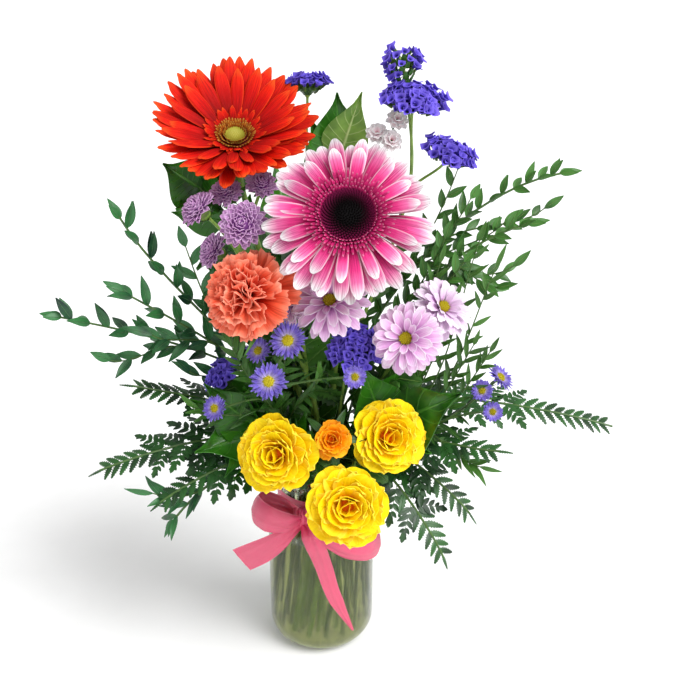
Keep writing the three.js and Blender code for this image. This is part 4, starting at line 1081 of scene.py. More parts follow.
# %% Leaves on the flower stems
FRONT = np.array([0.0, -1.0, 0.0])
STEM_LEAVES = {  # plant: (how many, from, to, length, half width)
    "stem_carnation": (10, 0.2, 0.9, 44, 1.9), "stem_pompon": (18, 0.15, 0.98, 30, 8),
    "stem_daisy_left": (18, 0.15, 0.98, 32, 9), "stem_daisy_right": (20, 0.15, 0.98, 32, 9),
    "stem_statice_right": (18, 0.1, 0.95, 28, 3), "stem_statice_back": (12, 0.1, 0.8, 28, 3),
    "stem_statice_middle": (12, 0.1, 0.9, 28, 7), "statice_left": (10, 0.1, 0.9, 28, 7),
    "stem_rose_left": (12, 0.2, 0.95, 26, 9), "stem_rose_right": (12, 0.2, 0.95, 26, 9),
}


def add_stem_leaves(pile, stem):
    count, low, high, length, half = STEM_LEAVES[stem["name"]]
    salt, shape = stem["salt"], "leaflet" if half > 5 else "narrow_leaf"
    for k in range(count):
        here = station(stem, low + (high - low) * (k + 0.5) / count)
        tries = [outward(here, other_side(k), 52, k * 67 + turn) for turn in (0, 110, 230, 320)]
        any(pile.grow(shape, GREEN, chance(k, salt + 1), root=here.at, out=out, up=here.face + FRONT * 0.8,
                      length=length * (1 + spread(k, salt + 2, 0.2)), half=half, rise=(0.2, -0.45),
                      twist=spread(k, salt + 3, 0.4), fold=-0.1) for out in tries)


for name, stem in PLANTS.items():
    if not name.startswith("stem_"):
        continue
    pile = Pile(room_round(name))
    add_stem(pile, stem)
    for order, carried in enumerate(CARRIES.get(name, [])):
        end, heading = bloom_end(carried)
        add_branch(pile, stem, order, end, heading, stem["radius"] * 0.72)
        add_cup(pile, carried, end, heading)
    if STEMS[name][1] is None:
        add_cup(pile, STEMS[name][0], stem["end"], stem["heading"])
    if name in STEM_LEAVES:
        add_stem_leaves(pile, stem)
    pile.make(name.replace("stem_", "stalk_"), "stem_green", name)

# %% [markdown]
# The gerberas are the largest blooms. The red one is a shallow bowl of pointed rays, three layers and
# a row of short ones round its eye. The pink one has three layers of blunt rays, bent back at the rim.
# Rays are laid from the lowest layer up, each at its own angle, and the red ones are long and broad at
# the top of the bowl. The eye is a spiral of small buds, tightest in the middle, inside rings of slim
# florets.

# %% Gerberas
GOLDEN_ANGLE = 2.39996


def ray_rings(pile, name, reach, layers, finish, salt, step=11, shape="ray", vary=4, turn=12, sink=0):
    """Rings from the lowest up: count, z, root, share of reach, half width, rises, phase, more at the top."""
    at, faces, _ = bloom(name)
    at = at - sink
    turning = turned_to(faces)
    for count, z, root, share, half, rise, phase, top in layers:
        for k in range(count):
            angle = 2 * math.pi * (k + phase + spread(k, salt, 0.22)) / count
            out = turning @ around(angle)
            longer = 1 + top * out[2]
            pile.grow(shape, finish, chance(k, salt + 4), out=out, up=faces,
                      root=at + turning @ around(angle, root, z),
                      length=reach * share * (1 + spread(k, salt + 1, 0.05)) * longer,
                      half=half * (1 + spread(k, salt + 5, 0.12)) * longer,
                      rise=[math.radians(value + spread(k, salt + 2, vary)) for value in rise],
                      twist=math.radians(spread(k, salt + 3, turn)))
        salt += step


def bud_disc(pile, name, radius, z, height, count, size, finish, tints, sink=0, under=None):
    """Buds on a golden-angle spiral over a low dome; the tint runs from the middle to the rim."""
    at, faces, _ = bloom(name)
    at = at - sink
    turning = turned_to(faces)
    under = tints[1] if under is None else under
    pile.seat("mound", at + faces * z, faces, (radius, radius, height), finish, under)
    for k in range(count):
        share = math.sqrt((k + 0.5) / count)
        lift = height * math.sqrt(max(0, 1 - (share * 0.97) ** 2))
        place = around(k * GOLDEN_ANGLE, radius * share, z + lift)
        lean = turning @ unit([place[0] * 0.5, place[1] * 0.5, radius * 0.9])
        grown = size * (0.75 + 0.4 * share)
        pile.seat("bead", at + turning @ place, lean, (grown, grown, grown * 1.7), finish,
                  tints[0] + (tints[1] - tints[0]) * share)


def gerbera_rays(colour, bed, layers, finish, salt, **style):
    name = f"gerbera_{colour}"
    pile = Pile(room_round(f"{name}_rays", f"{name}_eye", f"stem_{name}"))
    at, faces, radius = bloom(name)
    pile.seat("mound", at - style.get("sink", 0) - faces * 3.2, faces, bed, finish, 0.2)
    ray_rings(pile, name, radius - 9, layers, finish, salt, **style)
    pile.make(f"{colour}_gerbera_petals", f"petal_{colour}", f"{name}_rays")


def gerbera_eye(colour, slot, disc, fringes, salt, vary, sink=0, **style):
    """The buds, then the fringe rings: count, root, z, length, half width, rises, finish."""
    name = f"gerbera_{colour}"
    at, faces, _ = bloom(name)
    eye = Pile()
    bud_disc(eye, name, *disc, sink=sink, **style)
    for ring, (count, root, z, long, half, rise, finish) in enumerate(fringes):
        ring_of(eye, "fringe", count, at - sink, faces, z, root, long, half, rise, finish, salt + ring,
                vary=vary, phase=ring / 2)
    eye.make(f"{colour}_gerbera_eye", slot, f"{name}_eye")


gerbera_rays("red", (12, 12, 2.6), (
    (24, -2.9, 9, 1, 5.2, (20, 20), 0, 0.12),
    (24, -2.1, 9, 0.97, 4.9, (26, 22), 0.5, 0.15),
    (20, -1.2, 8.5, 0.8, 4.3, (33, 25), 0.2, 0.2),
    (24, -0.4, 9, 0.3, 1.9, (42, 27), 0.6, 0),
), RED, 3, shape="pointed_ray", vary=7, turn=22, sink=RED_SINK)
gerbera_eye("red", "eye_yellow", (6.2, 0.6, 3.0, 110, 0.56, LIME, (0.3, 0.55)), (
    (34, 6.2, 0.4, 4.2, 0.6, (80, 66), EMBER),
    (38, 7.4, 0.3, 5.2, 0.65, (70, 50), EMBER),
    (42, 8.6, 0.2, 6, 0.7, (58, 36), EMBER),
    (44, 9.4, 0.2, 8.5, 0.9, (42, 20), RED),
), 60, 0.16, sink=RED_SINK)
gerbera_rays("pink", (17, 17, 2.8), (
    (20, -2.9, 9, 1, 4.7, (2, -15), 0, 0),
    (20, -2.0, 9, 0.96, 4.5, (8, -12), 0.5, 0),
    (15, -1.2, 9, 0.8, 3.8, (14, -6), 0.2, 0),
), PINK, 5)
gerbera_eye("pink", "eye_maroon", (16.4, 0.6, 3.4, 400, 0.78, MAROON, (0.0, 0.8)), (
    (54, 14.6, 0.4, 4.6, 0.85, (66, 54), MAGENTA),
    (58, 15.4, 0.4, 5.6, 0.85, (54, 40), MAGENTA),
    (60, 16, 0.4, 7.6, 0.85, (42, 24), MAGENTA),
    (58, 16.4, 0.4, 10, 0.85, (32, 10), MAGENTA),
), 64, 0.2, under=0.1)

# %% [markdown]
# The carnation is a crowd of thin fan petals with toothed rims, flat at the outside and steeper and
# more ruffled towards the heart. The ruffle is a wave across the fan that grows towards its rim.

# %% Carnation
WAVE = 6.28  # where a ruffle starts is any share of one turn


def carnation(count=34):
    pile = Pile(room_round("carnation", "stem_carnation"))
    at, faces, radius = bloom("carnation")
    turning = turned_to(faces)
    pile.seat("mound", at - faces * 6, faces, (8, 8, 8), CORAL, 0.1)
    for k in range(count):
        share = 1 - k / count
        angle = k * GOLDEN_ANGLE + spread(k, 31, 0.2)
        open_angle = 88 - 92 * share**0.8
        out = turning @ around(angle)
        reach = 1 + 0.2 * max(0, out @ unit((0.8, -0.3, 0.6))) * share
        ruffle = (1.6 + 1.8 * chance(k, 35), (1.6 + 2.8 * chance(k, 36)) * (1.3 - 0.6 * share),
                  WAVE * chance(k, 37))
        pile.grow("fan", CORAL, chance(k, 38), out=out, up=faces, ruffle=ruffle,
                  root=at + turning @ around(angle, 3.5 * share, -8 + 4 * (1 - share)),
                  length=radius * (0.6 + 0.36 * share) * (1 + spread(k, 33, 0.1)) * reach,
                  half=9 + 6 * chance(k, 34),
                  rise=(math.radians(min(open_angle + 20, 88)), math.radians(open_angle - 12)),
                  twist=math.radians(spread(k, 39, 26)))
    pile.make("carnation_petals", "petal_coral", "carnation")


carnation()

# %% [markdown]
# Button chrysanthemums are balls of spoon-shaped petals on a golden-angle spiral: the outer ones
# stand out sideways or bend back, the inner ones close over the heart. The daisies have flat rings
# of petals round a yellow-green eye, and the roses have broad cupped petals wound in a spiral.

# %% Button chrysanthemums, daisies and roses
def spiral(pile, name, shape, count, finish, form, salt):
    """form(share, radius) gives root, z, length, half width and both rises; share 0 is the heart."""
    at, faces, radius = bloom(name)
    turning = turned_to(faces)
    for k in range(count):
        share = math.sqrt((k + 0.5) / count)
        angle = k * GOLDEN_ANGLE + spread(k, salt, 0.15)
        root, z, length, half, first, last = form(share, radius)
        depth = 0.035 * half if shape == "rose_petal" else 0
        first, last = first + spread(k, salt + 1, 5), last + spread(k, salt + 2, 7)
        pile.grow(shape, finish, chance(k, salt + 3) * 0.8 + share * 0.2, out=turning @ around(angle),
                  up=faces, root=at + turning @ around(angle, root, z),
                  length=length * (1 + spread(k, salt + 4, 0.07)), half=half,
                  rise=(math.radians(first), math.radians(last)),
                  twist=math.radians(spread(k, salt + 5, 9)),
                  ruffle=(1.5 + chance(k, salt + 6), depth, WAVE * chance(k, salt + 7)))


def button_form(share, radius):
    first = 88 - 92 * share**0.9
    return (radius * 0.34 * share, radius * (0.1 - 0.2 * share), radius * (0.4 + 0.3 * share), radius * 0.16,
            first, first + 24 * (1 - share) + 6)


def rose_form(share, radius):
    return (radius * (0.03 + 0.14 * share), radius * (-0.06 - 0.14 * share), radius * (0.44 + 0.46 * share),
            radius * (0.2 + 0.27 * share), 92 - 62 * share**1.3, 108 - 118 * share**1.15)


def blooms_of(kind, first_salt, step):
    """Each bloom of a kind, with its pile and its salt."""
    names = [name for name in BLOOMS if name.startswith(kind)]
    for index, name in enumerate(names):
        stems = [stem for stem, heads in CARRIES.items() if name in heads]
        yield name, Pile(room_round(name, *stems)), first_salt + index * step


for name, pile, salt in blooms_of("pompon", 100, 13):
    at, faces, radius = bloom(name)
    pile.seat("mound", at, faces, (radius * 0.5, radius * 0.5, radius * 0.45), LILAC, 0.1)
    spiral(pile, name, "spoon", 92, LILAC, button_form, salt)
    pile.make(name.replace("pompon", "button_mum"), "petal_lilac", name)
for name, pile, salt in blooms_of("rose", 200, 13):
    at, faces, radius = bloom(name)
    count, finish = (36, YELLOW) if radius > 20 else (22, AMBER)
    pile.seat("mound", at - faces * radius * 0.14, faces, (radius * 0.3,) * 3, YELLOW, 0.2)
    spiral(pile, name, "rose_petal", count, finish, rose_form, salt)
    pile.make(name.replace("rose", "spray_rose"), "petal_yellow", name)
DAISY_RINGS = (
    (15, -2.2, 3.6, 1, 3.3, (8, -26), 0, 0),
    (14, -1.5, 3.6, 0.96, 3.2, (20, -16), 0.5, 0),
    (12, -0.9, 3.6, 0.84, 2.9, (38, 4), 0.3, 0),
    (8, -0.4, 3.6, 0.56, 2.3, (58, 34), 0.6, 0),
)
for name, pile, salt in blooms_of("daisy", 300, 41):
    at, faces, radius = bloom(name)
    finish = PALE if name == "daisy_pale" else LAVENDER
    pile.seat("mound", at - faces * 2.6, faces, (5.6, 5.6, 2.2), GREEN)
    ray_rings(pile, name, radius - 3.6, DAISY_RINGS, finish, salt, 9, "daisy_petal", vary=9)
    bud_disc(pile, name, 3.9, -0.4, 2.4, 46, 0.5, MUSTARD, (0.0, 0.9))
    pile.make(name.replace("daisy", "daisy_head"), "petal_lavender", name)

# %% [markdown]
# Statice is a comb of small papery funnels that stand close together on a low mound, the outer ones
# leaning outwards. The top comb is young, with its florets up a green tip. An aster head is a fringe
# of thread-like rays round a yellow eye.

# %% Statice and asters
def statice_comb(pile, place, faces, radius, salt):
    turning = turned_to(faces)
    pile.seat("mound", place - faces * 3, faces, (radius * 0.5, radius * 0.4, 2), GREEN, 0.3)
    count = round(radius * 4.6) + 10
    for k in range(count):
        share = math.sqrt((k + 0.5) / count)
        angle = k * GOLDEN_ANGLE + spread(k, salt, 0.3)
        x, y = radius * 0.9 * share * math.cos(angle), radius * 0.7 * share * math.sin(angle)
        bump = 1.5 * math.cos(3 * angle + salt) * share
        base = np.array([x * 0.8, y * 0.8, -1.6 - 2.4 * share**2 + bump + spread(k, salt + 1, 1.2)])
        lean = turning @ unit([x * 0.7, y * 0.7, radius * 0.55])
        size = 0.94 + spread(k, salt + 2, 0.2)
        pile.seat("funnel", place + turning @ base, lean, (size, size, size * 1.45), VIOLET,
                  chance(k, salt + 3))


def statice_spike(pile, top, radius, salt, count=34):
    """The youngest sprig: florets one above the other up a green tip."""
    for k in range(count):
        share, angle = k / count, k * GOLDEN_ANGLE
        wide = radius * (0.28 + 0.3 * math.sin(math.pi * share))
        place = top + np.array([wide * math.cos(angle), wide * math.sin(angle) * 0.7, -0.5 - 18.5 * share])
        lean = unit(around(angle, 1, 0.75))
        if share < 0.62 or math.cos(angle) < -0.2:
            size = 0.92 + spread(k, salt, 0.2)
            pile.seat("funnel", place, lean, (size, size, size * 1.3), VIOLET, chance(k, salt + 3))
        bract = laid(SHAPES["bract"], place - (0, 0, 3), lean, (0, 0, 1), 6.5, 1.7, (0.3, 0.5))
        pile.add("bract", bract, GREEN, 1.2)


def aster_head(pile, at, faces, radius, salt):
    eye, turning = radius * 0.34, turned_to(faces)
    pile.seat("mound", at - faces * radius * 0.06, faces, (eye, eye, radius * 0.22), MUSTARD, 0.4)
    for k in range(24):
        share = math.sqrt((k + 0.5) / 24)
        place = around(k * GOLDEN_ANGLE, eye * share, radius * 0.16 * (1 - share**2) + 0.3)
        pile.seat("bead", at + turning @ place, faces, (0.5, 0.5, 0.8), MUSTARD, share)
    cup = (radius * 0.28, radius * 0.28, radius * 0.3)
    pile.seat("mound", at - faces * radius * 0.14, -faces, cup, GREEN, 0.4)
    root, layers = eye * 0.8, ((-0.5, 1.0, (10, -4)), (0.0, 0.97, (18, 4)), (0.3, 0.9, (26, 12)))
    for layer, (z, share, rise) in enumerate(layers):
        ring_of(pile, "aster_ray", 17, at, faces, z, root, (radius - root) * share, 0.95, rise, ASTER,
                salt + layer * 5, vary=0.14, phase=layer / 3)


for order, name in enumerate(name for name in BLOOMS if name.startswith("statice")):
    pile = Pile()
    at, faces, radius = bloom(name)
    if name == "statice_top":
        statice_spike(pile, at, radius, 400)
    else:
        statice_comb(pile, at, faces, radius, 400 + order * 7)
        ring_of(pile, "bract", 14, at, faces, -7, radius * 0.12, radius * 0.6, 2.2, (40, 20), GREEN,
                430 + order, vary=0.2)
    pile.make(name.replace("statice", "statice_comb"), "floret_violet", name)

# %% [markdown]
# The green round the blooms: fronds of leatherleaf fern whose leaflets shorten to the tip,
# eucalyptus with slim opposite leaves and leafy side twigs, salal with broad veined leaves, and the
# narrow-leaved asters and filler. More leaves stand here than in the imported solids, on the same stems.

# %% Ferns, eucalyptus, salal, asters and filler
FRONT_ROLL = 18  # degrees by which fronds tip their faces forwards
FRONT_AXIS = 130  # mm behind the middle: the axis that the leaves in front face away from


def facing(place):
    """Outwards from the bouquet: in front from an axis further back, so that leaves show their faces."""
    return unit([place[0], place[1] - (FRONT_AXIS if place[1] < 40 else 0), 0])


def fern_frond(pile, stem):
    """Lobed leaflets in pairs 6.5 mm apart; low on the frond every second pair is a whole pinna."""
    salt = stem["salt"]
    pairs = round(stem["length"] * 0.68 / 6.5)
    for k in range(pairs):
        share, near = 0.3 + 0.67 * (k + 0.3) / pairs, 1 - k / pairs
        here = rolled(station(stem, share), FRONT_ROLL)
        wide = near > 0.4 and k % 2 == 0
        for sign in (-1, 1):
            index = 2 * k + (sign > 0)
            length = (17 + 22 * near if wide else 10.5 + 10 * near) * (1 + spread(index, salt + 1, 0.1))
            pile.grow("pinna" if wide else "leaflet", FERN, chance(index, salt + 2), root=here.at,
                      out=outward(here, sign, 50, spread(index, salt, 8)), up=here.face, length=length,
                      half=length * 0.26 if wide else 2.6 + 1.1 * near, rise=(0.1, -0.35),
                      twist=spread(index, salt + 3, 0.3))
    tip, heading, _, face = station(stem, 0.98)
    pile.grow("leaflet", FERN, root=tip, out=heading, up=face, length=11, half=2.4, rise=(0, -0.2))


def leafy_twig(pile, start, heading, end, leaf, count, length, half, finish, salt):
    """A side twig with alternate leaves from start to end, and a leaf at its tip."""
    reach = np.linalg.norm(end - start)
    last = unit(unit(end - start) + np.array([0, 0, 0.5]))
    curve = (start, start + heading * reach * 0.4, end - last * reach * 0.3, end)
    path = bezier(curve, np.linspace(0, 1, RINGS + 1))
    pile.sweep("twig", path, [0.75, 0.4], TWIG, chance(salt, 2))
    for k in range(count + 1):
        place = int(4 + (RINGS - 4) * k / count)
        after = min(place + 1, RINGS)
        ahead = unit(path[after] - path[after - 1])
        side = unit(np.cross(ahead, (0, -0.6, 0.8)))
        lean = 0 if k == count else other_side(k) * (0.7 + spread(k, salt, 0.25))
        pile.grow(leaf, finish, 0.3 + 1.2 * k / count * chance(k, salt + 2), root=path[place],
                  out=unit(ahead + side * lean + np.cross(side, ahead) * spread(k, salt + 1, 0.5)),
                  up=FRONT + np.array([0, 0, 0.6 + spread(k, salt + 3, 0.5)]),
                  length=length * (1 + spread(k, salt + 4, 0.2)), half=half, rise=(0.1, -0.35),
                  twist=spread(k, salt + 5, 0.4))


def side_twigs(pile, stem, places, *leaves):
    """Twigs to the given places, each from its share of the stem; leaves as for leafy_twig."""
    for k, (share, end) in enumerate(places):
        at, heading, _, _ = station(stem, share)
        leafy_twig(pile, at, heading, np.array(end, float), *leaves, stem["salt"] + 9 * k)


GUM_TWIGS = {
    "eucalyptus_left_high": [(0.45, (-86, -16, 316))],
    "eucalyptus_left": [(0.6, (-108, -36, 262))],
    "eucalyptus_left_long": [(0.6, (-140, -26, 240)), (0.35, (-84, -44, 240))],
    "eucalyptus_left_low": [(0.7, (-110, -64, 160))],
    "eucalyptus_right": [
        (0.6, (150, 6, 336)), (0.4, (99, -5, 345)), (0.5, (123, 0, 328)), (0.45, (91, 5, 362)),
    ],
    "eucalyptus_right_low": [
        (0.6, (128, -14, 302)), (0.4, (95, -20, 307)), (0.7, (117, -20, 289)), (0.5, (83, -10, 320)),
    ],
}
ASTER_TWIGS = {
    "aster_right": [
        (0.5, (104, -20, 321)), (0.55, (115, -25, 305)), (0.6, (102, -35, 255)), (0.45, (89, -25, 282)),
        (0.4, (80, -15, 305)), (0.7, (112, -40, 252)), (0.75, (109, -50, 172)), (0.5, (73, -30, 263)),
    ],
    "aster_left": [
        (0.6, (-80, -60, 222)), (0.7, (-52, -70, 268)), (0.6, (-20, -66, 258)), (0.5, (2, -70, 250)),
        (0.5, (-60, -50, 280)),
    ],
}


def gum_leaves(pile, stem):
    """Opposite pairs: small and bright at the right, larger and darker at the left, slim where they hang."""
    right, salt = "right" in stem["name"], stem["salt"]
    slim = 0.7 if stem["name"] == "eucalyptus_left_low" else 1
    apart, finish, wide, twig = (15, YOUNG_GUM, 3.1, (9, 14, 2.7)) if right else (21, GUM, 3.8, (6, 18, 3.2))
    pairs = round(stem["length"] / apart) + 1
    for k in range(pairs):
        share = 0.3 + 0.68 * (k + 0.5) / pairs
        here = station(stem, share)
        for sign in (-1, 1):
            index = 2 * k + (sign > 0)
            tint = chance(index, salt + 2) + (1.1 * share if right else 0)
            pile.grow("gum_leaf", finish, tint, root=here.at,
                      out=outward(here, sign, 50, (k % 2) * 70 + spread(index, salt, 24)),
                      up=here.face * (0.5 + chance(index, salt + 4)) + FRONT * 1.2,
                      length=(16.5 if right else 21) - 3 * share + spread(index, salt + 1, 2.5),
                      half=(wide - 0.6 * share) * slim, rise=(0.15, -0.4), twist=spread(index, salt + 3, 0.6),
                      fold=0.04)
    tip, heading, side, face = station(stem, 1)
    for length, lean in ((15, 0), (12, 0.45), (12, -0.45)):
        pile.grow("gum_leaf", finish, 1.8, root=tip - heading * 3, out=unit(heading + side * lean),
                  up=face + FRONT, length=length, half=2.8 * slim, rise=(0.1, -0.25))
    count, length, half = twig
    side_twigs(pile, stem, GUM_TWIGS[stem["name"]], "gum_leaf", count, length, half * slim, finish)


def broad_leaves(pile, stem, count=22):
    """The leaves of the plan, each to its own tip, then smaller ones all along the branch."""
    salt = stem["salt"]
    for k, (share, tip, half, *other) in enumerate(BROAD_LEAVES[stem["name"]]):
        at = station(stem, share).at
        to_tip = np.array(tip, float) - at
        finish = other[0] if other else SALAL
        pile.grow("broad_leaf", finish, chance(k, salt), root=at, out=unit(to_tip),
                  up=facing(at + to_tip / 2) + np.array([0, 0, 0.7]), length=np.linalg.norm(to_tip),
                  half=half * 1.28, rise=(0.22, -0.3), fold=0.02, twist=spread(k, salt + 1, 0.15))
    for k in range(count):
        here = station(stem, 0.2 + 0.76 * (k + 0.5) / count)
        out = outward(here, other_side(k), 55, k * 75 + spread(k, salt + 2, 30))
        pile.grow("broad_leaf", SALAL, chance(k, salt + 3), root=here.at, out=out,
                  up=facing(here.at + out * 20) + out[2], length=38 + spread(k, salt + 4, 8),
                  half=13 + spread(k, salt + 5, 2.5), rise=(0.25, -0.4), fold=0.02,
                  twist=spread(k, salt + 6, 0.3))


def narrow_leaves(pile, stem, count, length, half):
    salt = stem["salt"]
    for k in range(count):
        here = station(stem, 0.25 + 0.72 * (k + 0.5) / count)
        pile.grow("narrow_leaf", GREEN, chance(k, salt + 2), root=here.at,
                  out=outward(here, other_side(k), 48, k * 80 + spread(k, salt, 40)), up=here.face,
                  length=length * (1 + spread(k, salt + 1, 0.25)), half=half, rise=(0.1, -0.3))


def aster_spray(pile, stem):
    for order, (at, faces, radius) in enumerate(ASTERS[stem["name"]]):
        end, heading = np.array(at, float), unit(faces)
        path = add_branch(pile, stem, order, end, heading, 0.8, TWIG)
        aster_head(pile, end, heading, radius, 500 + order * 9)
        for k in range(5):
            root, after = path[3 + 4 * k : 5 + 4 * k]
            ahead = unit(after - root)
            side = unit(np.cross(ahead, (0, 0, 1)))
            out = unit(ahead + side * other_side(k) + np.array([0, 0, spread(k, order + 3, 0.6)]))
            pile.grow("narrow_leaf", GREEN, chance(k, order), root=root, out=out, up=(0, 0, 1),
                      length=13, half=1.3, rise=(0.1, -0.3))
    narrow_leaves(pile, stem, 14, 24, 2)
    side_twigs(pile, stem, ASTER_TWIGS[stem["name"]], "narrow_leaf", 16, 15, 1.7, GREEN)


def filler_twigs(pile, stem):
    for k, place in enumerate(((50.7, 3, 394), (47, -3, 382), (38, 2, 386))):
        at = np.array(place, float)
        heading = unit(unit(at - stem["end"]) + FRONT * 1.2)
        add_branch(pile, stem, k, at, heading, 0.7, TWIG)
        layers = ((9, 7, (10, 0)), (8, 6.2, (36, 24)), (6, 5, (64, 54)))
        for layer, (count, length, rise) in enumerate(layers):
            ring_of(pile, "spoon", count, at, heading, -1 + layer * 0.4, 0.7, length, 2.4, rise, BLUSH,
                    600 + k * 9 + layer)
    narrow_leaves(pile, stem, 9, 18, 1.8)


def statice_sprig(pile, stem):
    statice_comb(pile, stem["end"], stem["heading"], 10, 460)
    add_stem_leaves(pile, stem)


FOLIAGE = {  # kind of plant: (what grows on its stem, name of the piece, slot)
    "fern": (fern_frond, "fern_frond", "leaf_fern"),
    "eucalyptus": (gum_leaves, "eucalyptus_spray", "leaf_gum"),
    "salal": (broad_leaves, "salal_branch", "leaf_salal"),
    "aster": (aster_spray, "aster_spray", "aster_spray"),
    "filler": (filler_twigs, "filler_sprig", "filler_spray"),
    "statice": (statice_sprig, "statice_sprig", "floret_violet"),
}
for name, stem in PLANTS.items():
    kind = name.split("_")[0]
    if kind not in FOLIAGE:
        continue
    grow_green, title, slot = FOLIAGE[kind]
    pile = Pile(room_round(name))
    add_stem(pile, stem, TWIG, "twig")
    grow_green(pile, stem)
    pile.make(name.replace(kind, title, 1), slot, name)

# %% [markdown]
# The jar is a profile spun round the axis: out along the foot, up the straight side, in at the
# shoulder to the neck, round the lip, and back down inside. Clear glass looks right only as a
# closed wall with a real inside, and the water overlaps that wall by a hair, so that no thin film
# of air shows between them.

# %% Glass jar and water
STEPS_ROUND = 72


def arc_points(x, z, radius, first, last):
    angles = np.radians(np.linspace(first, last, 9))
    return [(x + radius * math.cos(a), z + radius * math.sin(a)) for a in angles]


def spun(name, profile, finish, slot, node):
    mesh = bpy.data.meshes.new(name)
    points = [(x * MM, 0, z * MM) for x, z in profile]
    mesh.from_pydata(points, [(k, k + 1) for k in range(len(points) - 1)], [])
    piece = bpy.data.objects.new(name, mesh)
    bpy.context.scene.collection.objects.link(piece)
    bpy.ops.object.select_all(action="DESELECT")
    bpy.context.view_layer.objects.active = piece
    piece.select_set(True)
    bpy.ops.object.mode_set(mode="EDIT")
    bpy.ops.mesh.select_all(action="SELECT")
    bpy.ops.mesh.spin(steps=STEPS_ROUND, angle=2 * math.pi, center=(0, 0, 0), axis=(0, 0, 1))
    bpy.ops.mesh.select_all(action="SELECT")
    bpy.ops.mesh.remove_doubles(threshold=0.00002)
    bpy.ops.mesh.normals_make_consistent(inside=False)
    bpy.ops.object.mode_set(mode="OBJECT")
    mesh.materials.append(finish)
    bpy.ops.object.shade_smooth_by_angle(angle=math.radians(50))
    hand_over(piece, slot, node)
    print(name, len(mesh.polygons), "faces")


def clear_finish(name, low, high, ior, cover):
    """Clear glass or water; a cover below 1 lets some light straight through."""
    finish = Finish(name, 0.0, IOR=ior, Transmission_Weight=1.0, Specular_IOR_Level=0.5, Alpha=cover)
    ripple = finish.noise(finish.object_place(), 34.0, 1.0)
    finish.feed(Base_Color=finish.mix(ripple, linear(low), linear(high)))
    finish.bump(ripple, 0.0001)
    return finish.material


GLASS = clear_finish("clear_glass", "#d2d9ac", "#eaefd2", 1.48, 0.72)
WATER = clear_finish("vase_water", "#d6d998", "#e8eabc", 1.33, 0.94)
outside = [(0, 0), *arc_points(24, 16, 16, -90, 0), (40, 104), (39.4, 107.4), (37.4, 110.5), (34.2, 113.2),
           (31.6, 116), (31, 119), (31, 136), (31.6, 138), (33.2, 139.4), (33.5, 142.5), (32.8, 144.4),
           (31.5, 145)]
inside = [(28.7, 145), (27.8, 144.4), (27.5, 142.5), (27.5, 118), (28.6, 114.6), (32, 111.4), (35.2, 108),
          (36.6, 104), (36.8, 100), *arc_points(24, 16, 12.8, 0, -90), (0, 3.2)]
spun("glass_jar", outside + inside, GLASS, "jar_glass", "jar")
level = [(36.95, 97), (36.3, 98), (35.0, 97.6), (0, 97.6)]
spun("jar_water", [(0, 3.05), *arc_points(24, 16, 12.95, -90, 0), *level], WATER, "water", "water")

# %% [markdown]
# The ribbon is one long strip of pink satin. It goes round the neck, and its bow has two puffed
# loops, a gathered knot and two tails. Each length follows a smooth curve with the strip's width
# set along it, and pleats run from the knot outwards, deepest where the strip is gathered.

# %% Satin ribbon
PLEATS, RIBBON_STEPS = 16, 96
blade_shape("ribbon", 10, 100, [1.0] * 49, [0.0] * (PLEATS + 1), thick=0.28)


def smooth_curve(points, count):
    """A Catmull-Rom curve through the points."""
    points = np.array(points, float)
    padded = np.concatenate([[2 * points[0] - points[1]], points, [2 * points[-1] - points[-2]]])
    places = []
    for value in np.linspace(0, len(points) - 1, count):
        k = min(int(value), len(points) - 2)
        t = value - k
        a, b, c, d = padded[k : k + 4]
        squared, cubed = 2 * a - 5 * b + 4 * c - d, 3 * b - a - 3 * c + d
        places.append(0.5 * (2 * b + (c - a) * t + squared * t * t + cubed * t**3))
    return np.array(places)


def strip(pile, points, across, halves, pleat, waves, tint, puff=(0.0,)):
    """Lays one length and returns it. From start to end: half widths, fold heights, and how far the
    middle bulges, all in mm."""
    shape = SHAPES["ribbon"]
    path = smooth_curve(points, RIBBON_STEPS + 1)
    headings = np.gradient(path, axis=0)
    headings /= np.linalg.norm(headings, axis=1)[:, None]
    across = np.asarray(across, float)
    wide = across - headings * (headings @ across)[:, None]
    wide /= np.linalg.norm(wide, axis=1)[:, None]
    share = np.clip(shape["along"], 0, 1)
    u = shape["points"][:, 0] / 5
    steps = np.linspace(0, 1, RIBBON_STEPS + 1)

    def followed(rows):
        return np.stack([np.interp(share, steps, row) for row in rows.T], axis=1)

    def run(values):
        return np.interp(share, np.linspace(0, 1, len(values)), values)

    depth = run(pleat)
    folds = depth * np.sin(u * waves * math.pi + tint * 9 + share * 3.6)
    folds += depth * 0.45 * np.sin(u * waves * 5.1 + share * 5 + tint * 4)
    x, z = u * run(halves), shape["points"][:, 2] + folds + run(puff) * (1 - u * u)
    moves = followed(wide) * x[:, None] + followed(np.cross(wide, headings)) * z[:, None]
    pile.add("ribbon", followed(path) + moves, SATIN, tint)
    return np.linalg.norm(np.diff(path, axis=0), axis=1).sum()


def satin_finish():
    finish = Finish("pink_satin", 0.24, Specular_IOR_Level=1.0)
    across, along, tint = (finish.attribute(key) for key in ("across", "along", "tint"))
    place = finish.node("ShaderNodeCombineXYZ", {}, {0: across * 60, 1: along * 3, 2: tint * 20})
    threads = finish.noise(place, 4.0, 2.0)
    selvedge = finish.step(abs(across), 0.93, 0.97) * 0.35
    body = finish.mix(threads, linear("#cc2a56"), linear("#e44c76"))
    finish.feed(Base_Color=finish.mix(selvedge, body, linear("#f0809c")))
    finish.bump(threads, 0.0002)
    return finish.material


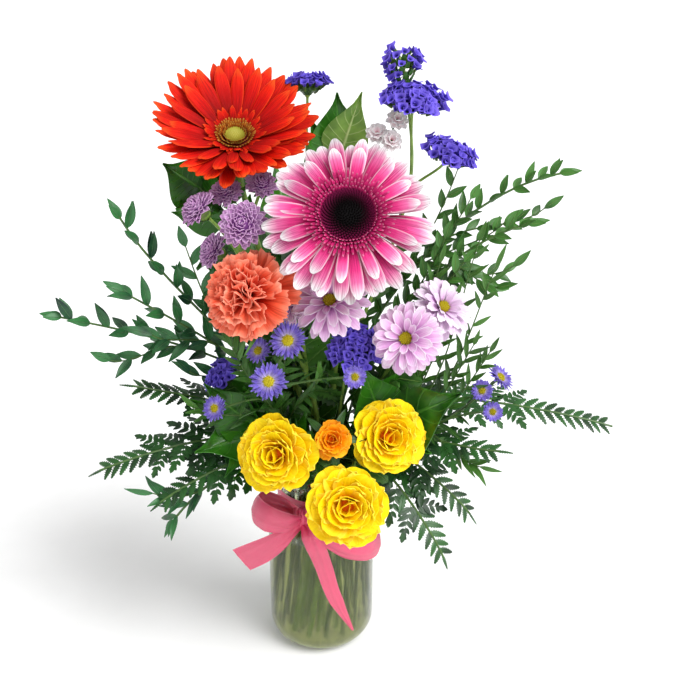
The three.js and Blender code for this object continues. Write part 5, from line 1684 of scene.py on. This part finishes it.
SATIN = satin_finish()
BAND = [(31.9 * math.cos(a), 31.9 * math.sin(a), 125) for a in np.radians(np.linspace(-104, 262, 25))]
LEFT_LOOP = [(-13, -42, 124), (-23, -50, 127), (-35, -51, 131), (-44, -43, 134), (-40, -34, 133),
             (-27, -34, 130), (-14, -37, 126)]
RIGHT_LOOP = [(-9, -42, 121), (5, -51, 115), (20, -53, 109), (34, -48, 105), (41, -38, 104), (34, -33, 108),
              (18, -37, 116), (-8, -38, 123)]
LEFT_TAIL = [(-13, -41, 120), (-26, -48, 113), (-40, -49, 104), (-56, -45, 93)]
LONG_TAIL = [(-11, -42, 121), (-6, -50, 116), (-1.5, -52, 106), (3, -47, 88), (10, -43, 60), (24, -37, 24)]
bow = Pile()
used = strip(bow, BAND, (0, 0, 1), [6.5], [0.28], 3.0, 0.3)
used += strip(bow, LEFT_LOOP, (0.2, -0.1, 0.97), [3, 8.5, 11.5, 12, 11.5, 8.5, 3],
              [1.1, 0.6, 0.15, 0.1, 0.15, 0.6, 1.1], 3.0, 0.1, [0, 4, 5, 3, 4, 3, 0])
used += strip(bow, RIGHT_LOOP, (-0.08, -0.1, 0.98), [3, 8, 9.5, 10, 10, 9, 6, 3],
              [0.9, 0.45, 0.15, 0.1, 0.1, 0.45, 0.9], 3.0, 0.55, [0, -2.5, -3.5, -2, -3.5, -2.5, 0])
used += strip(bow, LEFT_TAIL, (-0.1, -0.1, 0.99), [3, 8, 10, 10.5], [0.9, 0.3, 0.1], 2.6, 0.8,
              [0, 1.5, 0.8, 0.3])
used += strip(bow, LONG_TAIL, (0.97, 0.1, 0.22), [3, 6.5, 7, 6.4, 6, 5.2, 0.8], [0.9, 0.3, 0.1, 0.15],
              2.2, 0.2, [0, -1.5, -1, -0.6, -0.4])
for k, (lean, wide) in enumerate(((-0.2, 6.4), (0.1, 6.9), (0.3, 6.2))):
    deep, high = 5.4 + 0.35 * k, 6.6 + 0.35 * k
    wrap = [(-11 + lean * 6.2 * math.sin(a), -36.8 - deep * math.cos(a), 123 + high * math.sin(a))
            for a in np.linspace(0.3 * k, 0.3 * k + 6.4, 13)]
    used += strip(bow, wrap, (1, 0, lean), [wide], [0.8], 3.6, 0.45 + 0.2 * k)
bow_piece = bow.make("satin_bow", "ribbon_satin", "ribbon")
print("ribbon length", round(used), "mm")

# %% [markdown]
# The floor is a plain pale sheet, large enough that its edge never shows.

# %% Floor
floor = started(bpy.ops.mesh.primitive_plane_add, size=120)
floor.name = "floor"
paper = Finish("white_paper", 0.9)
grain = paper.noise(paper.object_place(), 40.0, 2.0)
paper.feed(Base_Color=paper.mix(grain, linear("#f6f6f6"), linear("#fbfbfb")))
floor.data.materials.append(paper.material)
